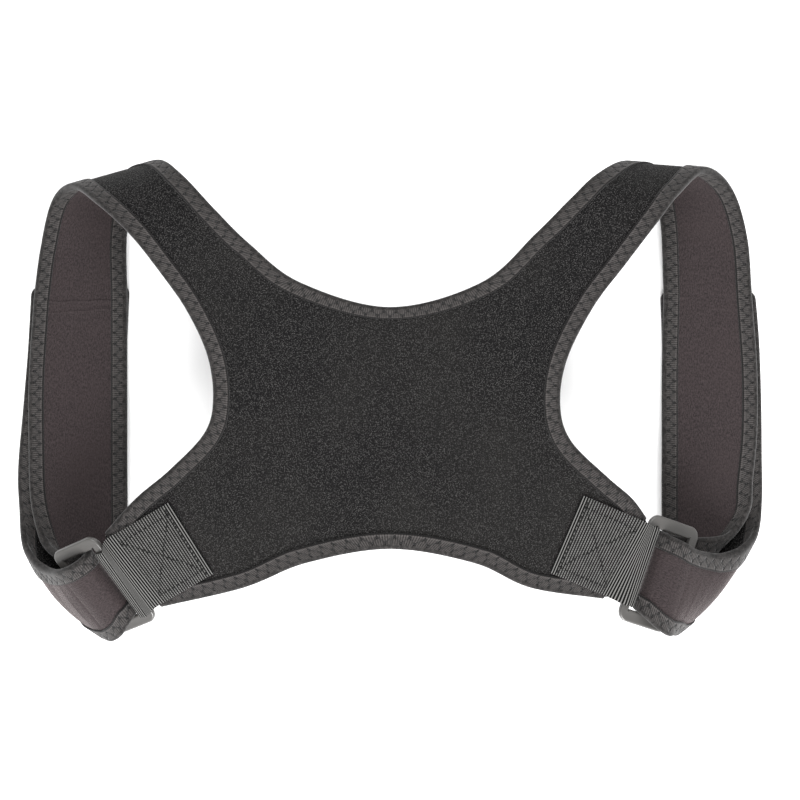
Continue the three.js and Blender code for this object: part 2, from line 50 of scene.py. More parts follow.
# %% Sizes
MM = 0.001
REACH, RISE, LIFT = 212 * MM, 136 * MM, 55 * MM  # half width, half height, height of the panel
CORE, TAPE, TAPE_WIDTH = 2.4 * MM, 0.7 * MM, 9.5 * MM
GAP, FOLD_GAP = 0.3 * MM, 0.42 * MM
HALF = CORE / 2 + FOLD_GAP + TAPE  # half the thickness of a bound edge
LOW, SECOND = HALF, 3 * HALF + GAP  # middle heights of the two strap layers
FOLD = 1.5 * TAPE
INSET = FOLD + FOLD_GAP  # the laminate ends this far inside the edge
RING = {"length": 62.5 * MM, "width": 34 * MM, "bar": 5.2 * MM, "thick": 3.6 * MM, "corner": 6 * MM}
WEBBING_WIDTH, WEBBING_THICK = 48 * MM, 1.3 * MM
RIDE = RING["thick"] / 2 + GAP + HALF
MIRROR = {"left": np.array([-1, 1, 1]), "right": np.array([1, 1, 1])}
print("bound edge", round(2 * HALF / MM, 2), "mm thick, second layer at", round(SECOND / MM, 2), "mm")

# %% [markdown]
# ## The rows
# A band of fabric is easiest to think of as a ladder: two edges, a and b, joined by straight rows. Each row
# gives both ends as shares: out of REACH from the middle, up of RISE toward the neck, and lift of the way
# from the layer on the table up to LIFT. A smooth curve through the row ends gives the edges. The two sides
# have rows of their own, because the straps are drawn in and lie a little differently.

# %% Row tables: aOut, aUp, aLift, bOut, bUp, bLift on the left, and the same on the right
PANEL_ROWS = {
    "corner": [[0.771, -0.563, 0.988, 0.623, -0.875, 0.827], [0.694, -0.5, 0.931, 0.58, -0.838, 0.908]],
    "tab": [[0.684, -0.412, 0.988, 0.392, -0.787, 0.965], [0.651, -0.412, 0.988, 0.377, -0.787, 0.988]],
    "flank": [[0.594, -0.294, 1, 0.226, -0.684, 1], [0.58, -0.316, 1, 0.226, -0.684, 1]],
    "hem": [[0.5, -0.14, 1, 0, -0.625, 1], [0.486, -0.169, 1, 0, -0.625, 1]],
    "waist": [[0.476, 0, 1, 0, -0.125, 1], [0.458, -0.022, 1, 0, -0.125, 1]],
    "neck": [[0.491, 0.184, 1, 0, 0.39, 1], [0.476, 0.169, 1, 0, 0.39, 1]],
    "yoke": [[0.547, 0.375, 1, 0.241, 0.493, 1], [0.547, 0.39, 1, 0.245, 0.493, 1]],
    "arm": [[0.623, 0.544, 1, 0.377, 0.654, 1], [0.632, 0.566, 1, 0.392, 0.699, 1]],
    "upper arm": [[0.703, 0.699, 1, 0.469, 0.796, 1], [0.722, 0.75, 1, 0.486, 0.846, 1]],
    "over": [[0.797, 0.831, 0.862, 0.56, 0.946, 0.862], [0.783, 0.868, 0.862, 0.557, 0.949, 0.862]],
    "crest": [[0.877, 0.912, 0.494, 0.632, 1.022, 0.494], [0.873, 0.985, 0.494, 0.642, 1.015, 0.494]],
    "under": [[0.948, 0.868, 0.137, 0.703, 0.963, 0.137], [0.958, 0.919, 0.137, 0.722, 0.963, 0.137]],
    "chest": [[0.986, 0.662, 0.01, 0.741, 0.735, 0.01], [1.005, 0.713, 0.01, 0.759, 0.787, 0.01]],
    "seam": [[1.005, 0.441, 0, 0.741, 0.441, 0], [1.019, 0.441, 0, 0.769, 0.471, 0]],
}
FRONT_ROWS = {
    "seam": PANEL_ROWS["seam"],  # the strap starts where the panel's arm ends
    "chest": [[1.019, 0.088, 0, 0.741, 0.088, 0], [1.033, 0.132, 0, 0.764, 0.132, 0]],
    "rib": [[1.019, -0.221, 0, 0.741, -0.243, 0], [1.033, -0.14, 0, 0.764, -0.176, 0]],
    "side": [[1.014, -0.419, 0.028, 0.741, -0.6, 0], [1.02, -0.353, 0.028, 0.764, -0.53, 0.005]],
    "bend": [[0.995, -0.544, 0.12, 0.752, -0.794, 0.039], [1.009, -0.478, 0.12, 0.772, -0.75, 0.047]],
    "rise": [[0.967, -0.618, 0.252, 0.767, -0.912, 0.091], [0.958, -0.57, 0.236, 0.771, -0.882, 0.143]],
    "below bar": [[0.92, -0.651, 0.425, 0.774, -0.96, 0.172], [0.892, -0.592, 0.361, 0.76, -0.941, 0.298]],
}
# In the ring's own directions: across, over, aAlong, bAlong
WRAP_ROWS = {
    "under bar": [[0.647, -2.159, -0.784, 0.784], [0.647, -2.159, -0.784, 0.784]],
    "into slot": [[0.088, -1.705, -0.768, 0.768], [0.02, -1.705, -0.768, 0.768]],
    "slot": [[-0.265, -0.341, -0.768, 0.768], [-0.35, -0.341, -0.768, 0.768]],
    "out of slot": [[-0.147, 1.182, -0.768, 0.8], [-0.21, 1.182, -0.736, 0.832]],
    "crest": [[0.294, 1.932, -0.768, 0.928], [0.294, 1.932, -0.704, 0.96]],
    "over bar": [[0.824, 1.682, -0.768, 0.992], [0.824, 1.682, -0.656, 1.024]],
}
RETURN_ROWS = {
    "off bar": [[0.925, -0.721, 0.715, 0.781, -1.031, 0.402], [0.873, -0.651, 0.649, 0.771, -1.004, 0.64]],
    "fall": [[0.95, -0.713, 0.583, 0.796, -1.027, 0.288], [0.92, -0.657, 0.545, 0.783, -1.011, 0.478]],
    "shoulder": [[0.991, -0.679, 0.421, 0.811, -1.013, 0.196], [0.981, -0.629, 0.393, 0.8, -0.996, 0.307]],
    "outer bend": [[1.03, -0.61, 0.217, 0.823, -0.978, 0.113], [1.031, -0.562, 0.19, 0.807, -0.934, 0.146]],
    "underneath": [[1.048, -0.483, 0.045, 0.811, -0.88, 0.037], [1.05, -0.439, 0.04, 0.796, -0.793, 0.035]],
    "flat": [[1.054, -0.309, 0, 0.774, -0.53, 0], [1.051, -0.247, 0, 0.777, -0.456, 0]],
    "rib": [[1.04, -0.044, 0, 0.755, -0.132, 0], [1.049, 0.022, 0, 0.771, -0.074, 0]],
    "chest": [[1.026, 0.221, 0, 0.746, 0.212, 0], [1.043, 0.27, 0, 0.768, 0.257, 0]],
    "end": [[1.016, 0.499, 0, 0.738, 0.507, 0], [1.032, 0.481, 0, 0.763, 0.481, 0]],
}
RETURN_CROWN = [-0.05, -0.07, -0.1, -0.09, 0, 0, 0, 0, 0]  # shares of LIFT
# Out, up, lift, then the turns in degrees: swing, dip, tilt
RING_PLACE = {
    "left": [0.778, -0.79, 0.735, 35, 19, 31],
    "right": [0.73, -0.737, 0.77, 19, -2, 22],
}
# Out, up and swing of the inner end, share along the corner, place along the ring, slack of the fold on the
# bar at its upper and at its lower end
WEBBING_PLACE = {
    "left": [0.534, -0.578, 32, 0.52, 2.6 * MM, 0, 3.3 * MM],
    "right": [0.474, -0.561, 23, 0.5, -1 * MM, 1.4 * MM, 0.9 * MM],
}
BENDS = tuple(list(PANEL_ROWS).index(name) for name in ("hem", "neck"))  # edge b meets the middle line there


def side_rows(table, side):
    """The numbers of one side's rows."""
    return np.array([pair[side == "right"] for pair in table.values()], float)


print("panel rows:", len(PANEL_ROWS), "front rows:", len(FRONT_ROWS))

# %% [markdown]
# ## The ring's own directions
# The ring hangs slanted between the panel and the strap. Three unit vectors describe it: along its length,
# across it and over its flat side. The strap's turn round the outer bar is given in these directions, so
# it keeps its place on the bar wherever the ring goes.

# %% Ring directions
def ring_directions(side):
    """The ring's middle and its directions: a level direction turned by swing, dipped at the hem end and
    tilted about its length."""
    out, up, lift, swing, dip, tilt = RING_PLACE[side]
    swing, dip, tilt = np.radians([swing, dip, tilt])
    level = np.array([np.cos(swing), -np.sin(swing), 0])
    along = np.array([-np.sin(swing) * np.cos(dip), -np.cos(swing) * np.cos(dip), -np.sin(dip)])
    rise = np.cross(along, level)
    across = level * np.cos(tilt) - rise * np.sin(tilt)
    over = level * np.sin(tilt) + rise * np.cos(tilt)
    return np.array([out * REACH, up * RISE, lift * LIFT]), along, across, over


def in_ring(side, along, across, over):
    """Middle plus along, across and over times the ring's three directions."""
    middle, *axes = ring_directions(side)
    return middle + sum(np.asarray(k)[..., None] * axis for k, axis in zip((along, across, over), axes))


print("left ring's middle:", np.round(ring_directions("left")[0] * MIRROR["left"], 4))

# %% [markdown]
# ## Smooth edges
# The Catmull-Rom curve passes through every row end and needs only the two neighbours on each side. The
# panel's edge b has two sharp places, where the neck and the hem curves reach the middle line. There the
# curve takes the mirror image of its neighbour, so it crosses the middle line level.

# %% Smooth edges
def unit(v):
    """The same direction with a length of one."""
    return v / np.linalg.norm(v, axis=-1, keepdims=True)


def smooth_edge(points, t, breaks=()):
    """Catmull-Rom curve at t (row number plus share f): half of 2 P1 + (P2 - P0) f
    + (2 P0 - 5 P1 + 4 P2 - P3) f^2 + (3 P1 - P0 - 3 P2 + P3) f^3, and its derivative as the direction."""
    beyond = lambda p, q: 2 * p - q if q[0] == 0 else q * [-1, 1, 1]
    before = np.vstack([2 * points[:1] - points[1:2], points[:-2]])
    after = np.vstack([points[2:], 2 * points[-1:] - points[-2:-1]])
    for k in breaks:
        before[k] = beyond(points[k], points[k + 1])
        after[k - 1] = beyond(points[k], points[k - 1])
    i = np.clip(t.astype(int), 0, len(points) - 2)
    if breaks:
        i = np.where(np.isclose(t, breaks[0]), breaks[0] - 1, i)
    f = (t - i)[:, None]
    p0, p1, p2, p3 = before[i], points[i], points[i + 1], after[i]
    square, cube = 2 * p0 - 5 * p1 + 4 * p2 - p3, 3 * p1 - p0 - 3 * p2 + p3
    place = (2 * p1 + (p2 - p0) * f + square * f**2 + cube * f**3) / 2
    return place, unit((p2 - p0) + 2 * square * f + 3 * cube * f**2)


def row_ends(table, side, low, crown=0):
    """Edge points: out times REACH, up times RISE, low plus lift times the way from low to LIFT."""
    shares = side_rows(table, side).reshape(-1, 2, 3)
    ends = shares * [REACH, RISE, LIFT - low] + [0, 0, low]
    return ends[:, 0], ends[:, 1], np.broadcast_to(crown, len(ends)) * LIFT


def strap_ends(side):
    """The front rows, the rows round the ring's bar and the return rows, one after the other."""
    front = row_ends(FRONT_ROWS, side, SECOND)
    back = row_ends(RETURN_ROWS, side, LOW, RETURN_CROWN)
    wrap = side_rows(WRAP_ROWS, side)
    bar = [in_ring(side, wrap[:, k] * RING["length"] / 2, wrap[:, 0] * RING["width"] / 2, wrap[:, 1] * RIDE)
           for k in (2, 3)]
    middle = (*bar, np.zeros(len(wrap)))
    return [np.concatenate(parts) for parts in zip(front, middle, back)]


print("left strap:", len(strap_ends("left")[0]), "rows")

# %% [markdown]
# ## A band
# A band knows its two edges, the outward face direction at each edge and the direction that leads into the
# fabric. With these, any point can be named in two ways: by its share of the width, which suits the
# laminate, or by its distance in from one edge, which suits the tape that is folded over that edge.

# %% Band
def run_length(points):
    """Distance along a path of points, starting at 0."""
    return np.concatenate([[0], np.cumsum(np.linalg.norm(np.diff(points, axis=0), axis=1))])


def read_between(x, at, values):
    """Points or directions read between the places where they are given, for each of x, y and z."""
    return np.stack([np.interp(x, at, values[:, k]) for k in range(3)], -1)


class Band:
    """A ruled strip of fabric between two smooth edges, cut evenly between its rows."""

    def __init__(self, a, b, crown, cuts, bends=(), round_end=0):
        rows = len(a) - 1
        cuts = np.broadcast_to(cuts, rows)
        self.t = np.concatenate([i + np.arange(n) / n for i, n in enumerate(cuts)] + [[rows]])
        self.a, self.along_a = smooth_edge(a, self.t)
        self.b, self.along_b = smooth_edge(b, self.t, bends)
        for edge in (self.a, self.b):
            edge[:, 2] = np.maximum(edge[:, 2], LOW)  # a smooth curve may dip a little under the table
        self.crown = np.interp(self.t, np.arange(rows + 1), crown)
        chord = self.b - self.a
        self.width = np.linalg.norm(chord, axis=1)
        self.bends = bends
        self.out_a = unit(np.cross(self.along_a, chord))
        self.out_b = unit(np.cross(self.along_b, chord))
        if bends:
            self.out_b[(self.t >= bends[0]) & (self.t <= bends[1])] = [0, 0, 1]
        self.into_a = self._into(self.along_a, self.out_a, chord)
        self.into_b = self._into(self.along_b, self.out_b, -chord)
        if bends:
            self.into_b[(self.t > bends[0]) & (self.t < bends[1])] = 0
        left = np.clip(self.to_end(), 0, round_end)[:, None]
        draw = round_end - np.sqrt(round_end**2 - (round_end - left) ** 2)
        self.a, self.b = self.a + self.into_a * draw, self.b + self.into_b * draw

    def gone(self):
        """Distance from the first row, along the middle of the band."""
        return run_length((self.a + self.b) / 2)

    def to_end(self):
        return self.gone()[-1] - self.gone()

    def _into(self, along, out, chord):
        """Into the fabric, scaled so that one step of it lies one unit square in from the edge: along the row
        where the row meets the edge steeply, else square to the edge."""
        square = unit(np.cross(out, along))
        square *= np.sign((square * chord).sum(1))[:, None]
        row = unit(chord)
        steep = np.ones(len(row))
        if self.bends:
            x = np.clip(((row * square).sum(1) - 0.5) / 0.25, 0, 1)
            steep = x * x * (3 - 2 * x)
        into = square + (row - square) * steep[:, None]
        return into / (into * square).sum(1)[:, None]

    def facing(self, v):
        """Outward direction at share v of each row: the blend of the two edges' directions."""
        v = np.asarray(v)[..., None]
        return unit(self.out_a[:, None] * (1 - v) + self.out_b[:, None] * v)

    def lift(self, height, v):
        """Height off the straight row: a crown adds four times its own height times v (1 - v)."""
        return (height + self.crown[:, None] * 4 * v * (1 - v))[..., None]

    def surface(self, shares, height=0.0, inset=0.0):
        """Points at shares of the width between edges moved in by inset, height off the middle surface."""
        a = self.a + self.into_a * inset
        b = self.b + self.into_b * inset
        start = inset * np.linalg.norm(self.into_a, axis=1) / self.width
        end = 1 - inset * np.linalg.norm(self.into_b, axis=1) / self.width
        v = start[:, None] + (end - start)[:, None] * shares
        flat = a[:, None] + (b - a)[:, None] * np.asarray(shares)[None, :, None]
        return flat + self.facing(v) * self.lift(height, v), v

    def from_edge(self, edge, inward, height):
        """Points inward from an edge and height off the middle surface, as arrays of (cut, place)."""
        start, into = (self.a, self.into_a) if edge == "a" else (self.b, self.into_b)
        share = inward * np.linalg.norm(into, axis=1)[:, None] / self.width[:, None]
        v = share if edge == "a" else 1 - share
        out = self.facing(v)
        if self.bends and edge == "b":
            level = self.out_b[:, 2] > 0.999
            out[level] = self.out_b[level][:, None]
        place = start[:, None] + into[:, None] * np.asarray(inward)[..., None]
        return place + out * self.lift(height, v), out


PANEL_CUTS, STRAP_CUTS, SEAM_CUTS = 16, 30, 160  # for each row; the strap's first row has the seam's ridges
END_ROUNDING = 5 * MM
PANEL = {s: Band(*row_ends(PANEL_ROWS, s, SECOND), cuts=PANEL_CUTS, bends=BENDS) for s in MIRROR}
STRAP = {}
for side in MIRROR:
    ends = strap_ends(side)
    cuts = [SEAM_CUTS] + [STRAP_CUTS] * (len(ends[0]) - 2)
    STRAP[side] = Band(*ends, cuts=cuts, round_end=END_ROUNDING)
for side, band in STRAP.items():
    print(side, "strap", round(band.gone()[-1], 3), "m long,", round(np.median(band.width), 3), "m wide")

# %% [markdown]
# ## From arrays to a mesh
# Every soft piece here is a closed section carried along a path: out over one face and back over the other.
# The sections stand in one array of (step, place, xyz). Neighbouring steps are joined by four-sided faces
# and the two ends are closed by faces between the two halves of the section. Edges stay soft unless they
# are bent sharply.

# %% Mesh helpers
def loop_faces(steps, places, closed=False):
    """Faces between step i and i + 1, place j and j + 1, where the last place joins the first."""
    i = np.arange(steps if closed else steps - 1)[:, None]
    j = np.arange(places)[None]
    k = (j + 1) % places
    n = ((i + 1) % steps) * places
    corners = np.broadcast_arrays(i * places + j, i * places + k, n + k, n + j)
    return np.stack(corners, -1).reshape(-1, 4)


def end_faces(steps, places):
    """Faces that close both ends: place j and j + 1 of the way out with their partners on the way back."""
    j = np.arange(places // 2 - 1)
    first = np.stack([j, j + 1, places - 2 - j, places - 1 - j], -1)
    return np.vstack([first[:, ::-1], first + (steps - 1) * places])


def outward(points, faces):
    """Turns every face round if the solid's signed volume is negative."""
    p = points[faces]
    volume = sum((p[:, 0] * np.cross(p[:, k], p[:, k + 1])).sum() for k in (1, 2))
    return faces if volume > 0 else faces[:, ::-1]


SHARP = np.radians(50)  # edges that are bent more than this stay crisp


def make_mesh(name, points, faces, uv=None, face_slots=None):
    """An object from an array of points, four-sided faces, a uv pair for each point and a slot per face."""
    mesh = bpy.data.meshes.new(name)
    mesh.from_pydata(points.reshape(-1, 3).tolist(), [], faces.tolist())
    if uv is not None:
        layer = mesh.uv_layers.new(name="cloth")
        layer.data.foreach_set("uv", uv.reshape(-1, 2)[faces.ravel()].astype(np.float32).ravel())
    if face_slots is not None:
        mesh.polygons.foreach_set("material_index", np.asarray(face_slots, np.int32))
    mesh.shade_smooth()
    mesh.set_sharp_from_angle(angle=SHARP)
    mesh.update()
    piece = bpy.data.objects.new(name, mesh)
    bpy.context.scene.collection.objects.link(piece)
    return piece


def section_mesh(name, loop, uv=None, face_slots=None, closed=False):
    """A shell from its sections (step, place, xyz): the faces between them, and the two ends unless the path
    closes on itself."""
    faces = loop_faces(*loop.shape[:2], closed)
    if not closed:
        faces = np.vstack([faces, end_faces(*loop.shape[:2])])
    points = loop.reshape(-1, 3)
    return make_mesh(name, points, outward(points, faces), uv, face_slots)


def dress(piece, materials, slot, *nodes):
    """Gives a piece its materials and its place on the body, and hides the imported parts of the nodes that it
    stands for. slot is not used.
    """
    for material in materials:
        piece.data.materials.append(material)
    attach(piece, "root")
    if nodes:
        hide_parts(*nodes)
    print(piece.name, len(piece.data.polygons), "faces")
    return piece


# %% [markdown]
# ## Shader sums in Python
# A pattern is easier to read as a formula than as a chain of nodes. This class wraps one output socket, and
# Python's own signs add the Math nodes: a * b + 1 makes two of them. Everything else, such as a noise
# texture or a colour mix, comes from one method that takes the node's type, settings and inputs.

# %% Shader class
class Field:
    """A value that varies over the surface: one node output."""

    def __init__(self, tree, socket):
        self.tree, self.socket = tree, socket

    def node(self, kind, settings=None, inputs=None, output=0):
        node = self.tree.nodes.new(kind)
        for key, value in (settings or {}).items():
            setattr(node, key, value)
        for key, value in (inputs or {}).items():
            if isinstance(value, Field):
                self.tree.links.new(value.socket, node.inputs[key])
            else:
                node.inputs[key].default_value = value
        return Field(self.tree, node.outputs[output])

    def math(self, operation, *values):
        return self.node("ShaderNodeMath", {"operation": operation}, dict(enumerate(values)))

    def __add__(self, other): return self.math("ADD", self, other)
    def __radd__(self, other): return self.math("ADD", other, self)
    def __sub__(self, other): return self.math("SUBTRACT", self, other)
    def __rsub__(self, other): return self.math("SUBTRACT", other, self)
    def __mul__(self, other): return self.math("MULTIPLY", self, other)
    def __rmul__(self, other): return self.math("MULTIPLY", other, self)
    def __truediv__(self, other): return self.math("DIVIDE", self, other)
    def __rtruediv__(self, other): return self.math("DIVIDE", other, self)
    def __abs__(self): return self.math("ABSOLUTE", self)
    def sin(self): return self.math("SINE", self)
    def part(self): return self.math("FRACT", self)
    def floor(self): return self.math("FLOOR", self)

    def between(self, low, high):
        """0 below low, 1 above high and a smooth rise in between."""
        return self.node("ShaderNodeMapRange", {"interpolation_type": "SMOOTHSTEP"},
                         {0: self, 1: low, 2: high, 3: 0.0, 4: 1.0})

    def mix(self, first, second):
        """The first colour where this field is 0 and the second where it is 1."""
        first, second = [c if isinstance(c, Field) else (*c, 1) for c in (first, second)]
        return self.node("ShaderNodeMix", {"data_type": "RGBA"}, {0: self, 6: first, 7: second}, output=2)

    def noise(self, scale, detail=2.0, rough=0.5):
        """Cloudy noise, read at this place."""
        return self.node("ShaderNodeTexNoise", None, {"Vector": self, "Scale": scale, "Detail": detail,
                                                      "Roughness": rough})

    def cells(self, scale):
        """Distance to the nearest of many scattered dots, read at this place."""
        return self.node("ShaderNodeTexVoronoi", {"feature": "F1"}, {"Vector": self, "Scale": scale})


class Finish:
    """A new material, with fields for the object's place and for the distances along and across the cloth."""

    def __init__(self, name):
        self.material = bpy.data.materials.new(name)
        self.material.use_nodes = True
        self.tree = self.material.node_tree
        source = self.tree.nodes.new("ShaderNodeTexCoord").outputs
        split = self.tree.nodes.new("ShaderNodeSeparateXYZ")
        self.tree.links.new(source["UV"], split.inputs[0])
        self.place = Field(self.tree, source["Object"])
        self.along, self.across = Field(self.tree, split.outputs[0]), Field(self.tree, split.outputs[1])

    def done(self, colour, roughness, height, strength, distance, **fixed):
        """Links the colour, the roughness and a bump of this height, and sets the constants straight on the
        shader."""
        bump = self.place.node("ShaderNodeBump", None, {"Height": height, "Strength": strength,
                                                        "Distance": distance})
        sockets = {"Base Color": colour, "Roughness": roughness, "Normal": bump}
        sockets |= {key.replace("_", " "): value for key, value in fixed.items()}
        inputs = self.tree.nodes["Principled BSDF"].inputs
        for key, value in sockets.items():
            if isinstance(value, Field):
                self.tree.links.new(value.socket, inputs[key])
            else:
                inputs[key].default_value = value
        print(self.material.name, len(self.tree.nodes), "nodes")
        return self.material


# %% [markdown]
# ## Velour
# The outer face of the panel is loop velour: a dense pile of tiny loops, about half a millimetre each. A real
# pile would need millions of hairs. At this distance it reads as salt and pepper, so scattered dots and two
# noises make light loop tips on a dark ground, and the same field lifts the surface as a bump.

# %% Velour
def make_velour():
    """Light where a dot, a tuft and a fine noise meet, with a slow drift toward a warmer grey."""
    finish = Finish("velour")
    place = finish.place
    tips = 1 - place.cells(1450.0).between(0.1, 0.56)
    fuzz = place.noise(1700.0, 2.0, 0.7)
    tufts = place.noise(900.0, 1.0).between(0.34, 0.66)
    drift = place.noise(14.0)
    loops = tips * (tufts * 0.9 + 0.25) * (fuzz + 0.35)
    shade = loops.mix((0.0013, 0.0012, 0.0014), (0.078, 0.0748, 0.0729))
    colour = (drift.between(0.3, 0.7) * 0.2).mix(shade, (0.02, 0.0188, 0.017))
    return finish.done(colour, 0.92, loops, 1.0, 0.7 * MM,
                       Sheen_Weight=0.05, Sheen_Roughness=0.6, Specular_IOR_Level=0.06)


VELOUR = make_velour()

# %% [markdown]
# ## Lining
# The inner face is a fine smooth knit, brown black with a warm sheen where it is seen at a slant. The knit
# runs in fine lines along the strap, so the pattern follows the cloth's own uv: along and across in metres.

# %% Lining
def make_lining():
    """Fine broken lines: noise that is stretched along the cloth, since its place is read from the uv with the
    length shortened."""
    finish = Finish("lining")
    place = finish.place
    cloth = place.node("ShaderNodeCombineXYZ", None, {0: finish.along * 0.4, 1: finish.across})
    wale = cloth.noise(1500.0, 2.0, 0.6)
    dots = place.noise(1500.0, 2.0, 0.7)
    patch = place.noise(26.0, 3.0, 0.55)
    knit = (wale * 0.55 + dots * 0.45).between(0.36, 0.64)
    shade = knit.mix((0.0090, 0.0066, 0.0070), (0.0310, 0.0235, 0.0243))
    colour = (patch.between(0.35, 0.75) * 0.35).mix(shade, (0.027, 0.0196, 0.0200))
    return finish.done(colour, 0.75, knit, 0.5, 0.3 * MM, Sheen_Weight=0.3, Sheen_Roughness=0.35,
                       Sheen_Tint=(0.95, 0.85, 0.84, 1), Specular_IOR_Level=0.12)


LINING = make_lining()

# %% [markdown]
# ## Binding tape
# The tape is a narrow knit with fine ribs across its length, folded over the edge and sewn with a three step
# zigzag. Its uv holds the distance along the edge and the distance in from the edge, so the ribs and the
# painted shade in the seam's groove and its dimples are two short formulas.

# %% Binding tape
ZIGZAG_WAVE, ZIGZAG_LOW, ZIGZAG_HIGH = 6.6 * MM, 3.3 * MM, 7.6 * MM
TAPE_RIB = 1.15 * MM


def make_tape():
    """Ribs across the tape, a mottled knit, painted shade along the zigzag and in the hollows where it turns, a
    painted highlight on the ridge and a painted shade line by the inner edge. All places across the tape are
    distances in from the edge."""
    finish = Finish("binding_tape")
    place, along, across = finish.place, finish.along, finish.across
    rib = (along * (2 * np.pi / TAPE_RIB)).sin() * 0.5 + 0.5
    fuzz = place.noise(1200.0, 2.0, 0.7)
    mottle = place.noise(420.0, 2.0, 0.6)
    step = abs((along / ZIGZAG_WAVE).part() * 2 - 1)
    off_seam = abs(across - (step * (ZIGZAG_HIGH - ZIGZAG_LOW) + ZIGZAG_LOW))
    # Painted shade along the groove that the zigzag thread pulls into the tape.
    near = 1 - off_seam.between(0.1 * MM, 0.9 * MM)
    # Painted shade in the dimples where the zigzag turns; the same mask also presses the dimples into the bump.
    dimple_shade = (1 - off_seam.between(0.3 * MM, 1.5 * MM)) * abs(step * 2 - 1).between(0.35, 0.8)
    # Painted shade line where the tape steps down at its inner edge.
    inner = across.between(8.3 * MM, 8.8 * MM)
    # Painted highlight on the low ridge before the tape's inner edge; it also lifts the bump.
    ridge = across.between(7.4 * MM, 7.8 * MM) * (1 - across.between(8.0 * MM, 8.4 * MM))
    body = across.between(1.8 * MM, 3.6 * MM)
    knit = rib * 0.3 * body + fuzz * 0.45 + mottle * 0.45 + ridge * 0.12
    shade = knit.between(0.3, 0.85).mix((0.0040, 0.0037, 0.0036), (0.057, 0.0523, 0.0508))
    sewn = across.between(2.2 * MM, 3.4 * MM) * (1 - across.between(7.8 * MM, 8.6 * MM))
    blotch = sewn * (mottle.between(0.4, 0.62) * 0.35 + 0.05)
    # Painted shade of the seam groove and its dimples, plus the tape's own mottled blotches in the sewn zone;
    # with the inner edge line this mixes toward the near-black painted shade colour.
    dark = near * (fuzz * 0.8 + 0.05) + dimple_shade * (mottle * 1.6 + 0.15) + blotch
    colour = dark.math("MAXIMUM", dark, inner * 0.95).mix(shade, (0.004, 0.0037, 0.0037))
    return finish.done(colour, 0.8, knit * 0.7 - dimple_shade, 0.8, 0.5 * MM,
                       Sheen_Weight=0.15, Sheen_Roughness=0.5, Specular_IOR_Level=0.08)


TAPE_CLOTH = make_tape()

# %% [markdown]
# ## Webbing
# The tab is ribbed webbing, grey, with painted shade in the gaps between the ribs. The ribs themselves are in
# the mesh, and the material adds the threads that cross them, the beads that the sewn box makes of them and
# the painted shade between the beads.

# %% Webbing
RIB, BEAD = 1.5 * MM, 1.25 * MM
BOX_START, BOX_END, BOX_HALF = 3.7 * MM, 34.5 * MM, 18.5 * MM  # the sewn box, from the inner end of the tab


def make_webbing():
    """Light ribs on nearly black gaps of painted shade. Inside the sewn box each rib is broken into beads, with
    painted shade between them, and every other rib is moved by half a bead."""
    finish = Finish("webbing")
    place, along = finish.place, finish.along
    rib = along / RIB
    ridge = abs((rib * np.pi).sin())
    thread = (finish.across * (2 * np.pi / BEAD) + rib.floor() * np.pi).sin() * 0.5 + 0.5
    fuzz = place.noise(1300.0, 2.0, 0.6)
    tufts = place.noise(330.0, 2.0, 0.6)
    sewn = along.between(BOX_START - RIB, BOX_START) * (1 - along.between(BOX_END, BOX_END + RIB / 2))
    # Light on the ribs and painted shade in the gaps between them; in the box the thread term also paints shade
    # between the beads. Fuzz and tufts are the webbing's own texture.
    plain = ridge.between(0.7, 1.0) * (thread * 0.2 + fuzz * 0.4 + 0.75)
    beaded = ridge.between(0.5, 1.0) * (thread * 0.5 + 0.4) * (fuzz * 0.6 + tufts + 0.2)
    weave_and_gap_shade = plain + (beaded - plain) * sewn
    colour = weave_and_gap_shade.mix((0.0004, 0.0004, 0.0004), (0.118, 0.1160, 0.1120))
    return finish.done(colour, 0.65, thread * 0.5 + fuzz * 0.6, 0.5, 0.3 * MM,
                       Sheen_Weight=0.02, Specular_IOR_Level=0.08)


WEBBING = make_webbing()

# %% [markdown]
# ## Thread, plastic and hooks
# Three small finishes need no uv. The thread is a twisted grey, the ring is moulded plastic with a satin skin
# and slow flow marks, and the hooks are dark dots on a stiff ground.

# %% Thread, plastic and hooks
def make_thread(name, dark, light):
    """Noise finer than the thread stands for its twist."""
    finish = Finish(name)
    twist = finish.place.noise(2600.0, 1.0)
    return finish.done(twist.mix([dark] * 3, [light] * 3), 0.6, twist, 0.3, 0.1 * MM, Specular_IOR_Level=0.15)


def make_plastic():
    """A fine noise roughens the skin, a slow one tints it."""
    finish = Finish("ring_plastic")
    skin = finish.place.noise(900.0, 3.0, 0.6)
    flow = finish.place.noise(60.0)
    colour = flow.mix((0.036, 0.0344, 0.0328), (0.056, 0.0535, 0.0507))
    return finish.done(colour, 0.24 + skin * 0.16, skin, 0.12, 0.2 * MM,
                       Specular_IOR_Level=0.6, Coat_Roughness=0.3)


def make_hooks():
    """Light where a scattered dot is near, dark between the dots."""
    finish = Finish("hook_patch")
    hook = finish.place.cells(900.0)
    colour = hook.between(0.1, 0.6).mix((0.04, 0.04, 0.04), (0.008, 0.008, 0.008))
    return finish.done(colour, 0.5, 1 - hook, 0.8, 0.6 * MM, Specular_IOR_Level=0.4)


PLASTIC, HOOKS = make_plastic(), make_hooks()
TAPE_THREAD, TAB_THREAD = make_thread("tape_thread", 0.010, 0.042), make_thread("tab_thread", 0.002, 0.010)

# %% [markdown]
# ## The back panel
# The panel is one sheet: two bands that meet on the middle line. Each half is worked out as a grid, the
# left one mirrored, and the points on the middle line are welded. The wall between the halves is left
# out, so the panel is a single closed shell of velour above and lining below.

# %% Back panel
WELD = 1e-6  # points that are nearer than this are one


